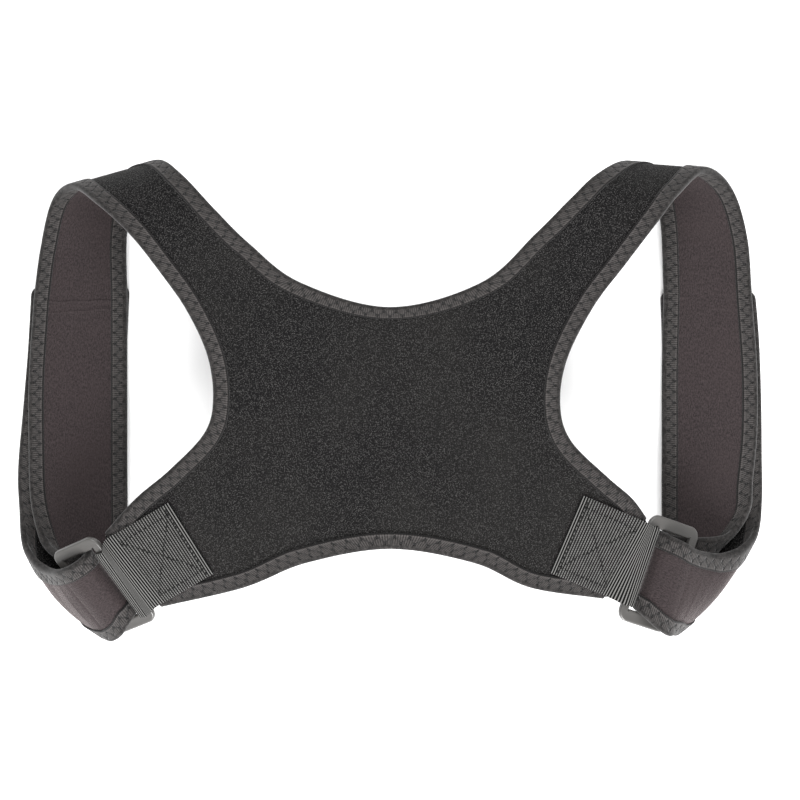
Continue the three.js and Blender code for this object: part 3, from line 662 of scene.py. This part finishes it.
def sheet_loop(band, columns, lining_relief=0):
    """A laminate's section at each cut: over the outer face from edge a to b and back over the inner face."""
    shares = np.linspace(0, 1, columns)
    top, v = band.surface(shares, CORE / 2, INSET)
    low, _ = band.surface(shares, -CORE / 2 + lining_relief, INSET)
    uv = np.stack([np.broadcast_to(band.gone()[:, None], v.shape), v * band.width[:, None]], -1)
    return np.concatenate([top, low[:, ::-1]], 1), np.concatenate([uv, uv[:, ::-1]], 1)


def back_panel():
    """Both halves side by side, without the walls between them; points in the same place become one."""
    columns = 45
    parts, faces, uvs, slots, offset = [], [], [], [], 0
    for side, band in PANEL.items():
        loop, uv = sheet_loop(band, columns)
        loop = loop * MIRROR[side]
        quads = loop_faces(*loop.shape[:2])
        step, place = np.divmod(np.arange(len(quads)), 2 * columns)
        middle = (band.t[:-1] >= BENDS[0]) & (band.t[:-1] < BENDS[1])
        inner_wall = middle[step] & (place == columns - 1)
        slot = np.where(place < columns - 1, 0, 1)[~inner_wall]
        ends = end_faces(*loop.shape[:2])
        quads = np.vstack([quads[~inner_wall], ends])
        slots.append(np.concatenate([slot, np.ones(len(ends), int)]))
        parts.append(loop.reshape(-1, 3))
        uvs.append(uv.reshape(-1, 2))
        faces.append((quads[:, ::-1] if side == "left" else quads) + offset)
        offset += len(parts[-1])
    points = np.concatenate(parts)
    key = np.round(points / WELD).astype(np.int64)
    _, first, same = np.unique(key, axis=0, return_index=True, return_inverse=True)
    faces = same.ravel()[np.concatenate(faces)]
    return make_mesh("panel_cloth", points[first], outward(points[first], faces),
                     np.concatenate(uvs)[first], np.concatenate(slots))


panel = dress(back_panel(), [VELOUR, LINING], "velour", "back_panel")

# %% [markdown]
# ## The front straps
# Each strap is the same laminate, so it is the same section along the other band. Its velour faces the
# table, and the smooth lining shows. It turns through the ring and comes back outside itself.

# %% Front straps
SEAM_LINES = {  # distance from the shoulder seam at edge a and at edge b, height, half width
    "left": [(1.8 * MM, 0.4 * MM, 0.50 * MM, 0.55 * MM), (9.0 * MM, 5.0 * MM, 0.42 * MM, 0.6 * MM),
             (13.5 * MM, 12.0 * MM, 0.16 * MM, 1.0 * MM)],
    "right": [(1.0 * MM, 1.6 * MM, 0.14 * MM, 0.55 * MM), (6.4 * MM, 8.0 * MM, 0.10 * MM, 0.7 * MM)],
}


def seam_relief(band, side, columns):
    """Height of the low ridges that cross the lining by the shoulder: a bell over the distance to each line,
    which runs straight from edge a to edge b."""
    share = np.linspace(0, 1, columns)
    gone = band.gone()[:, None]
    wave = 0.35 * MM * np.sin(share * 23 + 1)  # between three and four shallow waves, as sewn by hand
    return sum(high * np.exp(-(((gone - from_a - (from_b - from_a) * share - wave) / wide) ** 2))
               for from_a, from_b, high, wide in SEAM_LINES[side])


def front_strap(side):
    """The strap's sections, with the last cuts drawn back under the tape at the end."""
    band, columns = STRAP[side], 25
    loop, uv = sheet_loop(band, columns, -seam_relief(band, side, columns))
    back = np.maximum(INSET - band.to_end(), 0)[:, None]
    loop -= (band.along_a * back)[:, None]
    steps, places = loop.shape[:2]
    lining = np.arange(places) >= columns - 1  # all but the outer face
    slots = np.concatenate([np.tile(lining, steps - 1), np.ones(places - 2, bool)])
    piece = section_mesh("strap_cloth_" + side, loop * MIRROR[side], uv, slots)
    return dress(piece, [VELOUR, LINING], "strap_fabric", "front_strap_" + side)


straps = {side: front_strap(side) for side in MIRROR}

# %% [markdown]
# ## Binding
# The tape's section is a fold: a round nose at the edge, a full outer part, a sewn valley and a small ridge
# where it ends. The same section goes along every edge. The zigzag pulls the tape down where it passes, so
# the section's height changes along the way.

# %% The tape's section
TAPE_NOSE, TAPE_STEP = 2.5 * MM, 1.25 * MM  # width of the round nose, distance between two sections


def zigzag(along):
    """Distance of the seam in from the edge: a triangle wave between two limits."""
    wave = np.abs((along / ZIGZAG_WAVE) % 1 * 2 - 1)
    return ZIGZAG_LOW + (ZIGZAG_HIGH - ZIGZAG_LOW) * wave


def bell(x, middle, width):
    """1 at the middle, falling off as e to minus the square of the distance over the width."""
    return np.exp(-(((x - middle) / width) ** 2))


def tape_height(inward, along):
    """Height of the tape's outer face: a round nose that rises to just under HALF, less a dip round the
    zigzag that is deepest where it turns, more a low ridge before the end."""
    rise = np.clip(1 - inward / TAPE_NOSE, 0, 1)
    rounded = (HALF - 0.1 * MM) * (1 - rise**2.3) ** (1 / 2.3)
    turning = np.abs(np.abs((along / ZIGZAG_WAVE) % 1 * 2 - 1) * 2 - 1) ** 2
    pull = (0.7 + 0.8 * turning) * bell(inward, zigzag(along), 1.0 * MM)
    valley, ridge = bell(inward, 5.4 * MM, 2.0 * MM), bell(inward, 8.6 * MM, 0.45 * MM)
    end = np.clip((inward - 8.9 * MM) / (0.6 * MM), 0, 1) ** 2
    return rounded - 0.15 * MM * pull - 0.06 * MM * valley + 0.10 * MM * ridge - 0.45 * MM * end


# Places of the section's points, from the tape's inner edge to the fold
TAPE_PLACES = MM * np.array([9.5, 9.4, 9.1, 8.8, 8.4, 7.8, 7.1, 6.4, 5.6, 4.8, 4.0, 3.2, 2.5, 1.8, 1.2, 0.7,
                             0.3, 0.08, 0])


def tape_section(along):
    """Arrays of (step, place): inward and height, out over both faces of the fold and back inside it."""
    w = np.concatenate([TAPE_PLACES, TAPE_PLACES[-2::-1]])
    sign = np.concatenate([np.ones(len(TAPE_PLACES)), -np.ones(len(TAPE_PLACES) - 1)])
    outer_w = np.broadcast_to(w, (len(along), len(w)))
    outer_h = tape_height(outer_w, along[:, None]) * sign
    inner_w = FOLD + outer_w * (TAPE_WIDTH - FOLD) / TAPE_WIDTH
    inner_h = np.clip(np.abs(outer_h) - TAPE, 0.02 * MM, None) * sign
    inner_h[:, len(TAPE_PLACES) - 1] = 0
    return np.concatenate([outer_w, inner_w[:, ::-1]], 1), np.concatenate([outer_h, inner_h[:, ::-1]], 1)


print("a section has", 2 * (2 * len(TAPE_PLACES) - 1), "points")

# %% [markdown]
# ## Runs of tape
# The bands are cut evenly between their rows, so their cuts stand closer where rows are close. Tape and
# stitches need even distances along the edge, so the band is read again between its cuts.

# %% Runs of tape
def edge_cut(band, edge, first, last, places):
    """The same band between two rows, cut at other places: a function of the edge's length gives the
    distances along it, and every array is read between its cuts."""
    keep = (band.t >= first) & (band.t <= last)
    length = run_length((band.a if edge == "a" else band.b)[keep])
    along = places(length[-1])
    t = np.interp(along, length, band.t[keep])
    cut = Band.__new__(Band)
    cut.t, cut.bends = t, band.bends
    for key in ("a", "b", "along_a", "along_b", "out_a", "out_b", "into_a", "into_b"):
        setattr(cut, key, read_between(t, band.t, getattr(band, key)))
    cut.crown, cut.width = np.interp(t, band.t, band.crown), np.interp(t, band.t, band.width)
    return cut, along


def full_width(along):
    """All of the tape's width shows."""
    return np.ones_like(along)


def neck_width(along):
    """Share of the tape's width that shows: three quarters at the middle of the neck, all from 110 mm on."""
    return np.clip(0.75 + 0.25 * along / (110 * MM), 0, 1)


def tape_run(band, edge, first, last, trim=0, corner=False, narrow=full_width):
    """Sections of tape along one edge between two rows. trim moves the start in. At a corner each point stays
    as far from the end as it is from the edge, which mitres the tape."""
    cut, along = edge_cut(band, edge, first, last, lambda end: np.linspace(0, end, int(end / TAPE_STEP) + 1))
    w, h = tape_section(along)
    points, _ = cut.from_edge(edge, w * narrow(along)[:, None], h)
    direction = cut.along_a if edge == "a" else cut.along_b
    points[0] += direction[0] * trim
    if corner:
        left = (along[-1] - along)[:, None]
        points -= direction[:, None] * np.maximum(w - left, 0)[..., None]
    return points, np.stack([np.broadcast_to(along[:, None], w.shape), w], -1)


def tape_piece(node, loop, uv):
    """The tape that stands for a node of binding."""
    return dress(section_mesh(node.replace("binding", "tape"), loop, uv), [TAPE_CLOTH], "binding", node)


print("neck tape shows", neck_width(0), "of its width at the middle")


# %% The six tapes
def both_sides(edge_from, edge_to, trim, turned, narrow):
    """The neck or hem tape: the left half and the right half joined on the middle line, one of them read
    backward. The uv runs backward with it, so the ribs and the relief keep in step."""
    left, right = [tape_run(band, "b", edge_from, edge_to, trim, narrow=narrow) for band in PANEL.values()]
    left = left[0] * MIRROR["left"], left[1]
    if turned:
        return [np.concatenate([p[::-1], q[1:]]) for p, q in zip(left, right)]
    return [np.concatenate([p, q[-2::-1]]) for p, q in zip(left, right)]


CORNER_TRIM = 1.5 * MM  # the tapes end this far from the panel's lower corner
last_row = len(PANEL_ROWS) - 1
neck = tape_piece("neck_binding", *both_sides(BENDS[1], last_row, 0, True, neck_width))
hem = tape_piece("hem_binding", *both_sides(0, BENDS[0], CORNER_TRIM, False, full_width))
armholes, strap_tapes = {}, {}
for side in MIRROR:
    points, uv = tape_run(PANEL[side], "a", 0, last_row, CORNER_TRIM)
    armholes[side] = tape_piece("armhole_binding_" + side, points * MIRROR[side], uv)
    down, back = [tape_run(STRAP[side], edge, 0, STRAP[side].t[-1], corner=True) for edge in "ab"]
    points, uv = [np.concatenate([p, q[::-1]]) for p, q in zip(down, back)]
    strap_tapes[side] = tape_piece("strap_binding_" + side, points * MIRROR[side], uv)

# %% [markdown]
# ## The ring
# A rectangular frame of one rounded bar. Its middle line is a rectangle with round corners, and the bar's
# section is a superellipse, softer than a box and fuller than an ellipse, as moulded rings are. Its flat
# sides are a little dished.

# %% Ring
SECTION_POWER, DISH = 0.5, 0.2  # roundness of the bar's section, share of its height that the dish takes
SHORT_GROWTH, SHORT_SHIFT = 0.45, 0.4 * MM  # the short sides are broader, and their middle lies further in


def ring_piece(side):
    """Section: x = bar/2 sgn(cos) |cos|^e, y = thick/2 sgn(sin) |sin|^e. Path: four straight sides joined by
    quarter circles. The two short sides are almost half as broad again."""
    angle = np.linspace(0, 2 * np.pi, 28, endpoint=False) + 0.01
    x, y = [np.sign(f) * np.abs(f) ** SECTION_POWER for f in (np.cos(angle), np.sin(angle))]
    bar_x = RING["bar"] / 2 * x
    bar_y = RING["thick"] / 2 * y * (1 - DISH * (1 - x**2) ** 2)
    turn = np.linspace(0, np.pi / 2, 13)
    half = np.array([RING["length"], RING["width"]]) / 2 - RING["corner"]
    theta = (np.arange(4)[:, None] * np.pi / 2 + turn).ravel()
    centre = np.repeat(half * np.array([[1, 1], [-1, 1], [-1, -1], [1, -1]]), len(turn), 0)
    short = np.cos(theta)[:, None] ** 2
    radius = RING["corner"] - RING["bar"] / 2 + bar_x * (1 + SHORT_GROWTH * short) - SHORT_SHIFT * short
    along = centre[:, :1] + radius * np.cos(theta)[:, None]
    across = centre[:, 1:] + radius * np.sin(theta)[:, None]
    loop = in_ring(side, along, across, np.broadcast_to(bar_y, along.shape)) * MIRROR[side]
    return dress(section_mesh("plastic_ring_" + side, loop, closed=True), [PLASTIC], "ring_plastic",
                 "ring_" + side)


for side in MIRROR:
    ring_piece(side)

# %% [markdown]
# ## The webbing tab
# The tab runs from its inner end on the velour, over the bindings at the corner, round the ring's inner bar
# and back under the panel. A few straight rows give its path, the same smooth curve joins them, and the
# ribs are then pressed into both faces as a row of rounded ridges.

# %% The tab's path
TAB_LINES = 9  # lines along the tab that its rows are worked out on
TAB_SHARES = np.array([0, 0.25, 0.5, 0.75, 1.02])[:, None]  # of the way from the inner end to the corner
TAB_HEIGHTS = np.array([2.15, 2.3, 2.9, 3.45, 3.57])[:, None] * MM  # off the panel's middle, and over its tape
BAR_ANGLES = np.radians([90, 54, 18, -18, -54, -90])
BAR_CLEAR = 1.6 * GAP


def panel_height(side, x, y):
    """Height of the panel's middle surface over a place in plan: the mean of the eight nearest surface
    points, weighted by one over the distance squared. Only the four rows by the corner are read, and the
    surface is carried on straight past its edges."""
    surface = PANEL[side].surface(np.linspace(-0.3, 1.3, 121))[0][: 4 * PANEL_CUTS]
    beyond = np.arange(24, 0, -1)[:, None, None]
    surface = np.concatenate([surface[:1] + (surface[:1] - surface[1:2]) * beyond, surface])
    cloud = surface.reshape(-1, 3)
    near = np.linalg.norm(cloud[None, :, :2] - np.stack([x, y], -1).reshape(-1, 1, 2), axis=2)
    order = np.argsort(near, axis=1)[:, :8]
    weight = 1 / (np.take_along_axis(near, order, 1) ** 2 + 1e-9)
    return ((cloud[order, 2] * weight).sum(1) / weight.sum(1)).reshape(np.shape(x))


def webbing_rows(side):
    """Rows of the tab's middle surface: on the panel, round the bar as part of a circle, under the panel."""
    out, up, swing, share, along, *slack = WEBBING_PLACE[side]
    swing = np.radians(swing)
    corner_a, corner_b = PANEL[side].a[0], PANEL[side].b[0]
    inner = np.array([out * REACH, up * RISE])
    end = (corner_a + (corner_b - corner_a) * share)[:2]
    turn = np.array([-np.sin(swing), -np.cos(swing)])
    end_turn = unit((corner_b - corner_a)[:2])
    places = np.linspace(-0.5, 0.5, TAB_LINES) * WEBBING_WIDTH
    centre = inner + (end - inner) * TAB_SHARES
    direction = unit(turn + (end_turn - turn) * np.minimum(TAB_SHARES, 1))
    plan = centre[:, None] + direction[:, None] * places[None, :, None]
    base = panel_height(side, plan[..., 0], plan[..., 1])
    above = np.dstack([plan, base + TAB_HEIGHTS])
    below = np.dstack([plan, base - HALF - 2 * GAP - WEBBING_THICK / 2])[::-1]
    bar = -(RING["width"] - RING["bar"]) / 2
    radius = RING["thick"] / 2 + BAR_CLEAR + WEBBING_THICK / 2
    centre = bar + RING["bar"] / 2 + BAR_CLEAR + WEBBING_THICK / 2 - radius
    before = bar - RING["bar"] / 2
    across_at = np.concatenate([[before], centre + radius * np.cos(BAR_ANGLES), [before]])
    over_at = np.concatenate([[radius + GAP], radius * np.sin(BAR_ANGLES), [-radius - GAP]])
    hang = np.linspace(*slack, TAB_LINES)
    round_bar = in_ring(side, along + places[None], across_at[:, None] + hang, over_at[:, None])
    return np.concatenate([above, round_bar, below])


def webbing_path(side):
    """The tab's middle surface at even steps: points, outward directions, distance along and across."""
    rows = webbing_rows(side)
    t = np.linspace(0, len(rows) - 1, 40 * (len(rows) - 1) + 1)
    lines = [smooth_edge(rows[:, k], t)[0] for k in range(TAB_LINES)]
    length = run_length(lines[TAB_LINES // 2])
    s = np.arange(0, length[-1], RIB / 8)
    grid = np.stack([read_between(s, length, line) for line in lines], 1)
    share = np.linspace(0, TAB_LINES - 1, 41)
    low = np.clip(share.astype(int), 0, TAB_LINES - 2)
    grid = grid[:, low] + (grid[:, low + 1] - grid[:, low]) * (share - low)[None, :, None]
    out = unit(np.cross(np.gradient(grid, axis=1), np.gradient(grid, axis=0)))
    return grid, out, s, (share / (TAB_LINES - 1) - 0.5) * WEBBING_WIDTH


print("left tab:", round(webbing_path("left")[2][-1], 3), "m long")

# %% [markdown]
# ## The tab's ribs
# Webbing is woven with thick ribs across it. A bump would look flat at the tab's edges, so the ribs are
# pressed into the mesh itself. Inside the sewn box the thread pulls the ribs down and breaks them into beads.
# The left tab has a stretch without ribs where it turns over the bar.

# %% The tab's ribs
PLAIN_BAND = {"left": (44.25 * MM, 48.75 * MM), "right": (0, 0)}
RIB_DEPTH, BOX_DEPTH, UNDER_DEPTH, PLAIN_DEPTH = 0.55 * MM, 0.34 * MM, 0.24 * MM, 0.04 * MM
BEAD_DEPTH, PULL_DEPTH = 0.08 * MM, 0.16 * MM
SELVEDGE, SELVEDGE_THINNING = 1.4 * MM, 0.45


def on_plain(side, s):
    """True on the stretch without ribs, s from the inner end."""
    low, high = PLAIN_BAND[side]
    return (s > low) & (s < high)


def rib_profile(s):
    """1 on a rib and 0 in the gap: the absolute sine, made fuller by a power under 1."""
    return np.abs(np.sin(np.pi * s / RIB)) ** 0.7


def rib_relief(side, s, x):
    """Depth pressed into the outer face: full between the ribs, less over the sewn box, where the ribs are
    also broken into beads and pulled down along the cross, and hardly any on the plain band."""
    in_box = (s > BOX_START) & (s < BOX_END)
    bead = 0.5 + 0.5 * np.sin(2 * np.pi * x / BEAD + np.pi * np.floor(s / RIB))
    depth = np.where(in_box, BOX_DEPTH, np.where(on_plain(side, s), PLAIN_DEPTH, RIB_DEPTH))
    off_cross = np.abs(np.abs(x) - BOX_HALF * np.abs(2 * (s - BOX_START) / (BOX_END - BOX_START) - 1))
    beads = BEAD_DEPTH * (1 - bead) + PULL_DEPTH * bell(off_cross, 0, 1.0 * MM)
    return (1 - rib_profile(s)) * depth + np.where(in_box, beads, 0)


def webbing_piece(side):
    """Both faces off the middle surface, thinner at the selvedges, with the ribs pressed in."""
    grid, out, s, x = webbing_path(side)
    s2, x2 = np.broadcast_arrays(s[:, None], x[None])
    to_selvedge = np.clip((np.abs(x2) - WEBBING_WIDTH / 2 + SELVEDGE) / SELVEDGE, 0, 1)
    half = WEBBING_THICK / 2 * (1 - SELVEDGE_THINNING * to_selvedge**2)
    top = grid + out * (half - rib_relief(side, s2, x2))[..., None]
    low = grid - out * (half - (1 - rib_profile(s2)) * UNDER_DEPTH)[..., None]
    plain = np.where(on_plain(side, s2), 0.3 * RIB, s2)  # the side of a rib all over the plain band
    uv = np.concatenate([np.stack([plain, x2], -1), np.stack([s2, x2], -1)[:, ::-1]], 1)
    loop = np.concatenate([top, low[:, ::-1]], 1) * MIRROR[side]
    return dress(section_mesh("webbing_tab_" + side, loop, uv), [WEBBING], "webbing", "webbing_" + side)


for side in MIRROR:
    webbing_piece(side)

# %% [markdown]
# ## The hook patch
# Near its end the strap carries a patch of tiny hooks that grips the velour of the layer above. It is
# hidden in use, so it is a plain thin pad with a prickly bump.

# %% Hook patch
HOOK_INSET, HOOK_THICK = 14 * MM, 1.4 * MM


def hook_patch(side):
    """A pad over the last two rows of the return, moved in from all four edges."""
    band = STRAP[side]
    grid, _ = band.surface(np.linspace(0, 1, 9), CORE / 2 + GAP, HOOK_INSET)
    grid = grid[band.t >= band.t[-1] - 2]
    length = run_length(grid[:, 4])
    s = np.linspace(HOOK_INSET, length[-1] - HOOK_INSET, 20)
    grid = np.stack([read_between(s, length, grid[:, j]) for j in range(9)], 1)
    loop = np.concatenate([grid + [0, 0, HOOK_THICK], grid[:, ::-1]], 1) * MIRROR[side]
    return dress(section_mesh("hook_pad_" + side, loop), [HOOKS], "hook", "hook_patch_" + side)


for side in MIRROR:
    hook_patch(side)

# %% [markdown]
# ## Stitches
# A seam is a row of short threads that dive into the cloth at both ends. One stitch needs only four square
# rings: its middle rises a little and its ends are thin and sunk. All the stitches of a seam are made in
# one array, with no loop over the stitches.

# %% Stitch helper
def stitches(name, ends, thick, cloth=TAPE_THREAD, slot="binding"):
    """Threads from start to stop: four square rings at shares 0, 0.22, 0.78 and 1 of the way. The outer two are
    thin and sunk, the inner two have the full thickness and lie a little proud."""
    start, stop, out = ends
    share = np.array([0, 0.22, 0.78, 1])
    radius = np.array([0.45, 1, 1, 0.45]) * thick
    lift = np.array([-0.9, 0.35, 0.35, -0.9]) * thick
    way = stop - start
    side = unit(np.cross(way, out))
    angle = np.radians([45, 135, 225, 315])
    centre = start[:, None] + way[:, None] * share[None, :, None] + out[:, None] * lift[None, :, None]
    ring = side[:, None] * np.cos(angle)[None, :, None] + out[:, None] * np.sin(angle)[None, :, None]
    points = (centre[:, :, None] + ring[:, None] * radius[None, :, None, None]).reshape(-1, 3)
    one = np.vstack([loop_faces(4, 4), [[3, 2, 1, 0], [12, 13, 14, 15]]])
    faces = (one[None] + 16 * np.arange(len(start))[:, None, None]).reshape(-1, 4)
    return dress(make_mesh(name, points, outward(points, faces)), [cloth], slot)


def join(parts):
    """The starts, stops and directions of several seams, each in one array."""
    return [np.concatenate(part) for part in zip(*parts)]


print("thread finishes:", TAPE_THREAD.name, TAB_THREAD.name)

# %% [markdown]
# ## Stitching on the tape
# A three step zigzag holds the binding: each leg is three stitches, and it is seen on both faces. Its path
# is the same triangle wave that the tape's relief follows, so the thread lies in its own groove.

# %% Stitching on the tape
TAPE_STITCH_THICK, PROUD = 0.17 * MM, 0.02 * MM


def tape_seam(band, edge, first, last, side, narrow=full_width):
    """Ends of every zigzag stitch on one edge: a third of a leg apart, on both faces of the tape."""
    cut, along = edge_cut(band, edge, first, last, lambda end: np.arange(0, end, ZIGZAG_WAVE / 6))
    w = zigzag(along)[:, None]
    faces = []
    for sign in (1, -1):
        height = sign * (tape_height(w, along[:, None]) + PROUD)
        points, out = cut.from_edge(edge, w * narrow(along)[:, None], height)
        points, out = points[:, 0] * MIRROR[side], out[:, 0] * MIRROR[side] * sign
        faces.append((points[:-1], points[1:], unit(out[:-1] + out[1:])))
    return join(faces)


neck_ends = join(tape_seam(PANEL[s], "b", BENDS[1], last_row, s, neck_width) for s in MIRROR)
hem_ends = join(tape_seam(PANEL[s], "b", 0, BENDS[0], s) for s in MIRROR)
seams = {"neck": stitches("neck_stitching", neck_ends, TAPE_STITCH_THICK),
         "hem": stitches("hem_stitching", hem_ends, TAPE_STITCH_THICK)}
for side in MIRROR:
    armhole_ends = tape_seam(PANEL[side], "a", 0, last_row, side)
    seams["armhole_" + side] = stitches("armhole_stitching_" + side, armhole_ends, TAPE_STITCH_THICK)
    end = STRAP[side].t[-1] - 0.02  # just short of the corner
    strap_seams = join(tape_seam(STRAP[side], edge, 0, end, side) for edge in "ab")
    seams["strap_" + side] = stitches("strap_stitching_" + side, strap_seams, TAPE_STITCH_THICK)

# %% [markdown]
# ## Stitching on the webbing
# The tab is held by a box with a cross, the usual seam for a strap that carries load. The thread is dark and
# thicker. Each stitch end is looked up on the tab's own grid, so the seam follows the tab's slope.

# %% Stitching on the webbing
TAB_STITCH, TAB_STITCH_THICK = 2.8 * MM, 0.36 * MM


def webbing_seam(side):
    """A box with a cross, given as corners of (distance from the inner end, place across), cut into stitches
    with a gap after each. The two cross seams of the box run on past its sides."""
    grid, out, s, x = webbing_path(side)
    a, b, w = BOX_START, BOX_END, BOX_HALF
    lines = [((a, -w - 4 * MM), (a, w + 4 * MM)), ((b, -w - 2 * MM), (b, w + 2 * MM)), ((a, -w), (b, -w)),
             ((a, w), (b, w)), ((a, -w), (b, w)), ((a, w), (b, -w))]
    starts, stops, outs = [], [], []
    for p, q in np.array(lines):
        count = int(np.linalg.norm(q - p) / TAB_STITCH)
        k = np.arange(count)[:, None]
        for ends, share in ((starts, 0.16), (stops, 0.76)):
            spot = p + (q - p) * (k + share) / count
            i = np.clip(np.searchsorted(s, spot[:, 0]), 0, len(s) - 1)
            j = np.clip(np.searchsorted(x, spot[:, 1]), 0, len(x) - 1)
            ends.append((grid[i, j] + out[i, j] * (WEBBING_THICK / 2 - PROUD)) * MIRROR[side])
        outs.append(out[i, j] * MIRROR[side])
    return [np.concatenate(part) for part in (starts, stops, outs)]


for side in MIRROR:
    stitches("webbing_stitching_" + side, webbing_seam(side), TAB_STITCH_THICK, TAB_THREAD, "webbing")

# %% [markdown]
# ## The straps' cut length
# The panel and the two straps are sheets of laminate. For each strap the length that it is cut to, with the
# seam allowance, and the area of one face are printed.

# %% Cloth
SEAM_ALLOWANCE = 30 * MM


def sheet_area(piece):
    """Area of one face: half of the closed shell's."""
    return round(sum(p.area for p in piece.data.polygons) / 2, 4)


for side, band in STRAP.items():
    flat_length = float(band.gone()[-1]) + SEAM_ALLOWANCE
    "ring_" + side
    seams["strap_" + side]
    print(side, "strap:", round(flat_length, 3), "m long, area", sheet_area(straps[side]))

# %% [markdown]
# ## Table and light
# The table is a wide pale plane at height zero. A bright sky gives the soft light of a white tent, and two
# large lamps, one beyond the hem and one beyond the neck, model the rounded fabric.

# %% Table
def add_table(half):
    """A flat square at height zero, from minus half to plus half each way."""
    mesh = bpy.data.meshes.new("table")
    corners = [(-half, -half, 0), (half, -half, 0), (half, half, 0), (-half, half, 0)]
    mesh.from_pydata(corners, [], [(0, 1, 2, 3)])
    table = bpy.data.objects.new("table", mesh)
    bpy.context.scene.collection.objects.link(table)
    finish = Finish("table_white")
    grain = finish.place.noise(40.0)
    mesh.materials.append(finish.done(grain.mix((0.90, 0.90, 0.90), (0.93, 0.93, 0.93)), 0.6, grain, 0.02,
                                      0.5 * MM, Specular_IOR_Level=0.2))


add_table(3)


# %% Light
def add_lamp(name, place, size, power):
    """An area lamp at place, turned toward the middle of the table."""
    data = bpy.data.lights.new(name, "AREA")
    data.shape, data.size, data.energy = "SQUARE", size, power
    lamp = bpy.data.objects.new(name, data)
    lamp.location = place
    lamp.rotation_euler = Vector(place).to_track_quat("Z", "Y").to_euler()
    bpy.context.scene.collection.objects.link(lamp)


world = bpy.data.worlds.new("studio")
world.use_nodes = True
sky = world.node_tree.nodes["Background"].inputs
sky["Color"].default_value, sky["Strength"].default_value = (1, 1, 1, 1), 0.88
bpy.context.scene.world = world
add_lamp("front_light", (0.15, -1.5, 0.9), 1.1, 84)
add_lamp("top_light", (0.1, 1.1, 1.5), 1.5, 40)

# %% [markdown]
# ## Camera
# The camera looks straight down from about one metre, a little to the right of the middle. The lens is given
# by what it has to show: half the frame's width at a distance of one.

# %% Camera
HALF_VIEW = 0.228
lens = bpy.data.cameras.new("camera")
lens.sensor_width, lens.lens = 36.0, 36.0 / (2 * HALF_VIEW)
lens.clip_start, lens.clip_end = 0.05, 20
camera = bpy.data.objects.new("camera", lens)
camera.location = (0.0057, 0.0, 1.055)
bpy.context.scene.collection.objects.link(camera)
bpy.context.scene.camera = camera
bpy.context.scene.view_settings.view_transform = "Standard"
print("camera at", tuple(camera.location))
